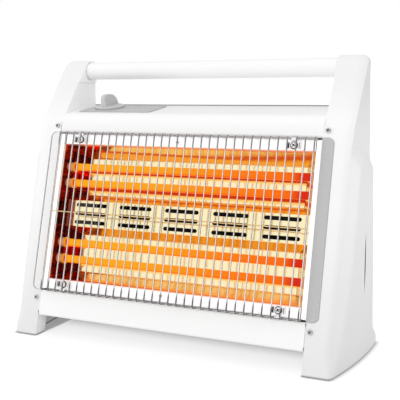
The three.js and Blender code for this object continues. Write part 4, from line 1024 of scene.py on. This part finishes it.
# %% Base plate
plate_low = foot_low + sheet + gap
plate_front, plate_back = front_line(plate_low + 1) + 2.4 + 3, back_face - 1 - gap
plate = block(-half_width + 2, half_width - 2, plate_front, plate_back, plate_low, plate_low + 1)
vents = []
for row in (0, 1):
    for x in vent_xs:
        vent = slot_cutter(vent_length, vent_width, 30)
        vent.transform(Matrix.Rotation(pi / 2, 4, "X"))
        vents.append(moved(vent, x=x, y=lerp(plate_front, plate_back, 0.25) + row * 17, z=plate_low))
finish_piece(carve(plate, vents), "base", zinc_steel, stands_for=["base_plate"])

# %% [markdown]
# ## The reflector
#
# One polished sheet is pressed into two troughs with a raised band between them, and the band
# has five groups of three slots. At each end a second plate, in two planes, slants across both
# troughs; it carries the ceramic caps of the tubes, so it has a round hole for each.

# %% Reflector
trough_half, trough_deep, band_half, band_deep = opening_half - 16.8, 45, 19.4, 26
trough_run, band_run = 14, 9.6
flange_in = 1.6
flange_out = opening_half - 0.8
opening_reach = inner_x - 7.5
upper = [(flange_in + 8.4, flange_out), (flange_in, flange_out), (flange_in, trough_half),
         (trough_deep, trough_half - trough_run), (trough_deep, band_half + band_run),
         (band_deep, band_half)]
profile = upper + [(into, -up) for into, up in reversed(upper)]
bend = [0.8, 1.5, 2.5, 2.5, 1.5]
pressed = folded_sheet(profile, bend + bend[::-1], -opening_reach + 1.1, opening_reach - 1.1, 1,
                       inside=(200, 0), steps=5)
end_path = [(opening_reach, flange_in), (opening_reach - 3, 25),
            (opening_reach - 24.6, trough_deep + 3)]

# What lies beyond the slanting planes of an end is cut off as a prism.
prism_top, prism_x = trough_half - 0.05, inner_x + 3
corners = [(x - gap, into) for x, into in end_path]
corners += [(prism_x, trough_deep + 3), (prism_x, flange_in)]
prism = thick(flat([(x, into, -prism_top) for x, into in corners]), (0, 0, 2 * prism_top))
cutters = [prism, mirrored(prism)]
clamp_x, clamp_up, small_screw_x = 162, 105.25, -6
slot_length, slot_width, slot_pitch, slot_rise = 52, 5.6, 73.7, 12.7
for group in range(-2, 3):
    for row in (-1, 0, 1):
        slot = slot_cutter(slot_length, slot_width, 4)
        cutters.append(moved(slot, x=group * slot_pitch, y=band_deep, z=row * slot_rise))
for side in (1, -1):
    for x, radius, reach in ((-clamp_x, 2, 6), (clamp_x, 2, 6), (small_screw_x, 1.6, 5)):
        hole = rod(radius, -reach, reach, "y", 24)
        cutters.append(moved(hole, x=x, z=side * (clamp_up - 0.05)))
finish_piece(carve(pressed, cutters), "polished_reflector", mirror_steel, panel,
             stands_for=["reflector"], crease=40)

# %% End plates
tube_ups, tube_in, bore_radius = (68, 44, -44, -68), 22, 8.5
deepest = trough_deep - gap
inner_profile = [(flange_in + 0.5, trough_half - gap), (deepest, trough_half - trough_run - gap),
                 (deepest, band_half + band_run + gap), (band_deep - gap, band_half + gap)]
rim = [(0, into, up) for into, up in inner_profile]
section = thick(flat(rim + [(0, into, -up) for _, into, up in reversed(rim)]), (inner_x, 0, 0))


def plate_slab(start, end, overlap=0):
    """One plane of the end plate: the section of the troughs cut by four planes."""
    slab = section.copy()
    along = Vector((end[0] - start[0], end[1] - start[1], 0)).normalized()
    face_on = Vector((-along.y, along.x, 0))
    near, far = Vector((*start, 0)), Vector((*end, 0)) + along * overlap
    deeper = Vector((0, 1, 0))
    planes = (near, face_on), (near - face_on, -face_on), (near, -deeper), (far, deeper)
    for spot, normal in planes:
        bmesh.ops.bisect_plane(slab, geom=slab.verts[:] + slab.edges[:] + slab.faces[:],
                               plane_co=spot, plane_no=normal, clear_outer=True)
        bmesh.ops.holes_fill(slab, edges=[e for e in slab.edges if e.is_boundary], sides=0)
    return outward(slab)


slabs = [plate_slab(end_path[0], end_path[1], 0.3), plate_slab(end_path[1], end_path[2])]
flange = block(opening_reach, inner_x - gap / 2, flange_in, flange_in + 1,
               -opening_half + 2.6, opening_half - 2.8)
bores = [moved(rod(bore_radius, 150, 202, "x", 48), y=tube_in, z=up) for up in tube_ups]
end_plate = carve(united(slabs[0], [slabs[1], flange]), bores)
finish_piece(mirrored(end_plate), "reflector_end_left", left_end_glow_steel, panel,
             stands_for=["left_reflector_end"])
finish_piece(end_plate, "reflector_end_right", mirror_steel, panel,
             stands_for=["right_reflector_end"])

# %% [markdown]
# ## Wire guard
#
# Thirty-three chrome wires stand 11 mm in front of the reflector. Each is bent back at both
# ends to an edge wire, and one wire runs across the middle behind them. They are welded where
# they cross. A curve with a round bevel makes a clean wire; it is turned into mesh, because
# the guard is then one piece.

# %% Wires
wire_radius, edge_radius, cross_radius = 1.0, 0.75, 0.85
wire_pitch, wire_count, stand = 12, 33, 11
cross_up = -1.75
edge_into = flange_in - gap - wire_radius
guard_half, shoulder = opening_half - 2.2, opening_half + 0.4


def rounded_path(points, radius, steps=6):
    """The points with each inner corner turned into an arc."""
    path = [points[0]]
    for before, corner, after in zip(points, points[1:], points[2:]):
        back, ahead = (before - corner).normalized(), (after - corner).normalized()
        half = back.angle(ahead) / 2
        start, middle = corner + back * radius / tan(half), (back + ahead).normalized()
        centre = corner + middle * radius / sin(half)
        sweep = pi - 2 * half
        axis = back.cross(ahead)
        for k in range(steps + 1):
            spin = Matrix.Rotation(-sweep * k / steps, 3, axis)
            path.append(centre + spin @ (start - centre))
    return path + [points[-1]]


def wires(paths, radius):
    """Round wires along the paths, as one bmesh."""
    curve = bpy.data.curves.new("scratch", "CURVE")
    curve.dimensions = "3D"
    curve.bevel_depth, curve.bevel_resolution, curve.use_fill_caps = radius, 3, True
    for path in paths:
        spline = curve.splines.new("POLY")
        spline.points.add(len(path) - 1)
        for place, point in zip(path, spline.points):
            point.co = (*place, 1)
    thing = bpy.data.objects.new("scratch", curve)
    scene.collection.objects.link(thing)
    bm = bmesh.new()
    drawn_out = thing.evaluated_get(bpy.context.evaluated_depsgraph_get())
    bm.from_mesh(bpy.data.meshes.new_from_object(drawn_out))
    bpy.data.objects.remove(thing)
    bmesh.ops.remove_doubles(bm, verts=bm.verts[:], dist=1e-4)
    return outward(bm)


def cross_run(into, up):
    return [Vector((-reach, into, up)), Vector((reach, into, up))]


bent = rounded_path([Vector((0, into, up)) for into, up in (
    (edge_into, guard_half), (-stand, shoulder - 1.6),
    (-stand, -shoulder), (edge_into, -guard_half))], 3)
places = [(i - (wire_count - 1) / 2) * wire_pitch for i in range(wire_count)]
reach = places[-1] + wire_radius
guard = wires([[point + Vector((x, 0, 0)) for point in bent] for x in places], wire_radius)
add_to(guard, wires([cross_run(edge_into, up) for up in (guard_half, -guard_half)], edge_radius))
welds = (edge_into - 0.3, guard_half), (edge_into - 0.3, -guard_half), (-stand + 0.9, cross_up)
for x in places:
    for into, up in welds:
        bead = Matrix.Translation((x, into, up)) @ Matrix.Diagonal((1.1, 0.8, 1.0, 1))
        bmesh.ops.create_icosphere(guard, subdivisions=1, radius=1.0, matrix=bead)
finish_piece(guard, "guard_wires", chrome_wire, panel,
             stands_for=["wire_guard"], crease=50)
cross = wires([cross_run(-stand + wire_radius + 0.6, cross_up)], cross_radius)
finish_piece(cross, "guard_cross_wire", straw_wire, panel, crease=50)

# %% [markdown]
# ## Clamps and screws
#
# Four small saddles hold the edge wires down. A pan head screw is a turned shape with a cross
# pressed into its head. One screw is made and cut once for each size, then copied to its places.

# %% Clamps
clamp_face = flange_in - gap


def clamp_piece(x, side, name, node_name):
    low = clamp_face - 1
    parts = [block(-9.5, 9.5, low, clamp_face, 100.5, 110, 0.25),
             block(-4.4, 4.4, low, clamp_face, 100.7, 112.3, 0.2),
             block(-4.4, 4.4, edge_into - 2.4, clamp_face - 0.1, 111.55, 112.55, 0.2),
             block(-4.4, 4.4, edge_into - 2.4, edge_into - 1.4, 111.6, 115.1, 0.3),
             block(8.5, 9.5, low - 4, clamp_face, 100.5, 110, 0.3),
             block(-9.5, -8.5, low - 4, clamp_face, 100.5, 110, 0.3)]
    saddle = carve(united(parts[0], parts[1:]), [moved(rod(2, -8, 8, "y", 24), z=clamp_up)])
    if side < 0:
        saddle = mirrored(saddle, (0, 0, 1))
    finish_piece(moved(saddle, x=x), name, mirror_steel, panel, stands_for=[node_name])
    # Painted shade: two black patches on the saddle, and a black washer round the screw.
    slot_shades = bmesh.new()
    for middle in (-7.4, 7.4):
        add_to(slot_shades, block(middle - 1, middle + 1, low - 0.12, low + 0.2, 101.6, 108.8, 0.1))
    face, foot = low - 0.5, low + 0.1
    washer = turned([(3.4, face), (5.1, face), (5.1, foot), (3.4, foot), (3.4, face)], "y", 40)
    add_to(slot_shades, moved(washer, z=clamp_up))
    slot_shades.transform(Matrix.Translation((x, 0, 0)) @ Matrix.Scale(side, 4, (0, 0, 1)))
    finish_piece(outward(slot_shades), name + "_washer", print_and_shade_black, panel)


levels, hands = (("upper", 1), ("lower", -1)), (("left", -clamp_x), ("right", clamp_x))
for level, side in levels:
    for hand, x in hands:
        clamp_piece(x, side, f"{level}_{hand}_saddle", f"{level}_{hand}_guard_clamp")


# %% Screws
def cross_bars(arm, half, near, far):
    return [block(-arm, arm, near, far, -half, half), block(-half, half, near, far, -arm, arm)]


def pan_screw(head, rise, shank, length):
    """Head towards -Y, its seat at zero."""
    crown = [(shank, 0), (head, 0), (head, -rise * 0.45), (head * 0.93, -rise * 0.72),
             (head * 0.72, -rise * 0.92), (head * 0.4, -rise), (0, -rise)]
    body = turned([(0, length), (shank, length)] + crown, "y", 40)
    return carve(body, cross_bars(head * 0.6, head * 0.17, -rise * 2, -rise * 0.4))


def cross_shade(head, rise):
    """Painted shade: a dark inlay at the bottom of the cross, where the recess lies in shade."""
    return add_to(*cross_bars(head * 0.58, head * 0.16, -rise * 0.55, -rise * 0.39))


def place_screw(shape, name, place, spin):
    head_finish = mirror_steel if "clamp" in name else zinc_steel
    for part, suffix, material, slot in ((shape[0], "_pan", head_finish, "zinc_steel"),
                                         (shape[1], "_cross", print_and_shade_black, "black_plastic")):
        copy = part.copy()
        copy.transform(Matrix.Rotation(radians(spin), 4, "Y"))
        finish_piece(copy, name + suffix, material, place,
                     stands_for=[name] if suffix == "_pan" else [])


cheek_screw, clamp_screw, small_screw = (
    (pan_screw(head, rise, shank, length), cross_shade(head, rise))
    for head, rise, shank, length in ((3.5, 2.2, 1.7, 11), (3.9, 2.6, 1.7, 8), (2.3, 1.2, 1.3, 4)))
for side, hand in ((-1, "left"), (1, "right")):
    for level, up, spin in (("upper", screw_ups[0], 20), ("lower", screw_ups[1], 50)):
        place = panel @ Matrix.Translation((side * screw_x, -gap, up))
        place_screw(cheek_screw, f"{level}_{hand}_front_screw", place, spin * side)
    for level, z, spin in (("upper", screw_zs[0], 10), ("lower", screw_zs[1], 65)):
        place = Matrix.Translation((side * screw_x, body_back + gap, z)) @ Matrix.Rotation(pi, 4, "Z")
        place_screw(cheek_screw, f"{level}_{hand}_rear_screw", place, spin * side)
for level, side in levels:
    for hand, x in hands:
        place = panel @ Matrix.Translation((x, flange_in - 1 - 2 * gap, side * clamp_up))
        place_screw(clamp_screw, f"{level}_{hand}_clamp_screw", place, 35 * side)
    place = panel @ Matrix.Translation((small_screw_x, flange_in - gap, side * clamp_up))
    place_screw(small_screw, f"{level}_reflector_screw", place, 15)
for shape in cheek_screw + clamp_screw + small_screw:
    shape.free()

# %% [markdown]
# ## Tubes and their caps
#
# Each tube is milky quartz with a wound wire inside, so from outside it shows an even glow that
# reddens towards its ends, where the winding stops. A ceramic cap with a thicker
# collar closes each end.

# %% Tubes
cap_in, tube_radius, tube_wall = 178, 5.5, 1.1
for number, up in enumerate(tube_ups, start=1):
    tube = moved(pipe(tube_radius, cap_in + 14, tube_wall, 48), y=tube_in, z=up)
    finish_piece(tube, f"tube_{number}", quartz, panel,
                 stands_for=[f"quartz_tube_{number}"])

# %% Caps
def tube_cap(start):
    """A cap with its collar at start; the collar is where the tube goes in."""
    end, floor = cap_in + 28, cap_in + 14.3
    profile = [(5.8, start + 0.4), (6.1, start), (7.1, start), (7.6, start + 0.5),
               (7.6, start + 2.8), (6.6, start + 3.6), (6.6, end - 0.8), (6.0, end), (1.2, end),
               (1.2, floor), (5.8, floor), (5.8, start + 0.4)]
    return turned(profile, "x", 48)


for number, up in enumerate(tube_ups, start=1):
    for hand, cap in (("left", mirrored(tube_cap(cap_in))), ("right", tube_cap(cap_in + 6))):
        finish_piece(moved(cap, y=tube_in, z=up), f"cap_{hand}_{number}", ceramic, panel,
                     stands_for=[f"{hand}_tube_cap_{number}"])

# %% [markdown]
# ## Control plate and knob
#
# The plate is thin brushed metal with two printed marks at the rim of the dial. The knob has a
# low skirt and a tall blade to grip. The blade starts as its side outline, drawn as one face,
# and gets its thickness by extrusion and its soft edges by a bevel.

# %% Plate
plate_x0, plate_y0, plate_top = -35, -35.3, gap + 0.8
plate_wide, plate_tall, plate_round = 121, 59, 5
dial_plate = block(plate_x0, plate_x0 + plate_wide, plate_y0, plate_y0 + plate_tall, gap, plate_top)
corners = [e for e in dial_plate.edges if abs(e.verts[0].co.z - e.verts[1].co.z) > 0.5]
bevelled(dial_plate, corners, plate_round, 10, clamped=False)
bevelled(dial_plate, edges_at(dial_plate, lambda co: co.z > plate_top - 0.1), 0.3)
dial_plate = carve(dial_plate, [rod(4.9, -5, 5, "z", 40)])
finish_piece(dial_plate, "dial_plate", plate_grey, control,
             stands_for=["control_plate"])

marks = bmesh.new()
for turn in (-122, 52):
    mark = block(22.3, 25.3, -1.2, 1.2, plate_top - 0.01, plate_top + 0.06)
    mark.transform(Matrix.Rotation(radians(turn), 4, "Z"))
    add_to(marks, mark)
finish_piece(marks, "dial_marks", print_and_shade_black, control)

# %% Knob
knob_low = plate_top + gap
knob_top = knob_low + 4.2
skirt = turned([(0, knob_low + 2.4), (11, knob_low + 2.4), (11, knob_low), (21.6, knob_low),
                (22, knob_low + 0.4), (22, knob_low + 2.2), (21.5, knob_low + 2.9),
                (19.8, knob_top - 0.6), (16.5, knob_top), (0, knob_top)], "z", 96)
half, base = 18.5, knob_top - 1.6
side_outline = [(-1, 0), (1, 0), (0.98, 3), (0.86, 8.5), (0.62, 13.2), (0.3, 16.6), (-0.1, 18),
                (-0.55, 18.1), (-0.85, 17.2), (-0.99, 14.4)]
blade = flat([(-4, half * share, base + rise) for share, rise in side_outline])
bevelled(blade, [v for v in blade.verts if v.co.z > base + 1], 0.35, 1, "VERTICES", "PERCENT")
thick(blade, (8, 0, 0))
for vert in blade.verts:
    vert.co.x *= lerp(1, 0.78, clamp((vert.co.z - base) / 18, 0, 1))
blade.normal_update()
back_edges = edges_at(blade, lambda co: abs(co.y + half) < 0.3)
long_edges = [e for e in blade.edges if e in back_edges
              or len(e.link_faces) == 2 and e.calc_face_angle() > radians(50)
              and min(v.co.z for v in e.verts) > base + 1e-3]
bevelled(blade, long_edges, 1.3, 4)
knob = carve(united(skirt, [blade]), [rod(2.9, knob_low - 1, knob_low + 12 + gap, "z", 32)])
finish_piece(knob, "dial_knob", knob_grey, control, body="knob", stands_for=["knob"])

# %% [markdown]
# ## Parts that stay as the CAD has them
#
# The switch, the terminal block, the leads and the other small parts inside have the right
# shape already, so they only get their finish.

# %% Finishes of the CAD parts
kept = {"switch_shaft": zinc_steel, "switch_nut": zinc_steel, "switch_body": black_plastic,
        "tilt_switch": black_plastic, "terminal_block": ceramic, "cord_inlet_bush": black_plastic,
        "left_link_bar": zinc_steel, "sleeved_leads": glass_sleeve}
kept.update({f"heating_coil_{number}": glowing_coil for number in (1, 2, 3, 4)})
for name, material in kept.items():
    for slot in nodes[name].material_slots:
        slot.material = material
print("kept CAD parts:", len(kept))

# %% [markdown]
# ## Floor and light
#
# The studio is white. The floor keeps the soft shadow under the base but is lifted to white for
# the camera, and lifted less under the feet and behind the base, where a shadow is painted on it.
# The world is white where the camera, a mirror or glass sees it. There are no lamps: the world
# itself is the light, a little stronger from the front left, so a colour renders about as it is
# written.

# %% Floor
floor_mesh = bmesh.new()
bmesh.ops.create_grid(floor_mesh, x_segments=1, y_segments=1, size=2.6)
mesh = bpy.data.meshes.new("floor")
floor_mesh.to_mesh(mesh)
floor_mesh.free()
floor = bpy.data.objects.new("floor", mesh)
scene.collection.objects.link(floor)
floor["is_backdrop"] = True
floor_white, g, shader = shader_material("floor_white", Roughness=0.7, Specular_IOR_Level=0.1,
                                         Emission_Color=grey(1.0))
rays = g.node("ShaderNodeLightPath").outputs
seen = g.highest(rays["Is Camera Ray"], rays["Is Glossy Ray"], rays["Is Transmission Ray"])
axes = g.axes(g.spot())
across, along = g.size(axes["X"]), g.size(axes["Y"])
# Painted shadow: the floor is lifted less under the two feet, whose outer line is bowed, and behind
# the base.
bow = g.minus(g.times(axes["Y"], 0.094), g.times(g.maths("POWER", along, 2), 0.81))
feet = g.times(g.ramp(g.minus(across, bow), 0.2565, 0.247), g.ramp(along, 0.0955, 0.0865),
               g.ramp(across, 0.195, 0.202))
deep = g.times(g.band(axes["Y"], (-0.04, 0.03), (0.105, 0.06)), g.ramp(across, 0.21, 0.19))
full_lift, painted_shadow_depth = 0.74, 0.5
lift = g.minus(full_lift, g.times(g.highest(feet, deep), painted_shadow_depth))
g.feed(shader.inputs["Emission Strength"], g.times(seen, lift))
bounce, seen_base = grey(0.84), grey(0.32)
g.feed(shader.inputs["Base Color"], g.mix(seen, bounce, seen_base))
mesh.materials.append(floor_white)

# %% World
world = bpy.data.worlds.new("studio")
scene.world = world
world.use_nodes = True
world.node_tree.nodes.clear()
g = Graph(world.node_tree)
rays = g.node("ShaderNodeLightPath").outputs
direction = g.node("ShaderNodeTexCoord").outputs["Generated"]
key_side, dimmest, brightest = (-0.46, -0.87, -0.4), 0.78, 1.38
light = g.node("ShaderNodeMapRange", Value=g.vector("DOT_PRODUCT", direction, key_side, "Value"),
               From_Min=-1, From_Max=1, To_Min=dimmest, To_Max=brightest)
axes = g.axes(direction)
behind = g.mix(g.ramp(axes["Y"], 0.1, 0.6), grey(1.0), grey(0.75))
mirrored_level = g.mix(g.ramp(axes["X"], 0.48, 0.6), behind, grey(0.08))
level = g.mix(rays["Is Glossy Ray"], light.outputs[0], mirrored_level)
level = g.mix(g.highest(rays["Is Camera Ray"], rays["Is Transmission Ray"]), level, grey(1.0))
background = g.node("ShaderNodeBackground", Color=level, Strength=1.0).outputs[0]
g.node("ShaderNodeOutputWorld", Surface=background)
print("world:", world.name)

# %% The size of the dressed heater
low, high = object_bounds()
print("visual box", [round(1000 * s, 1) for s in (*low, *high)])
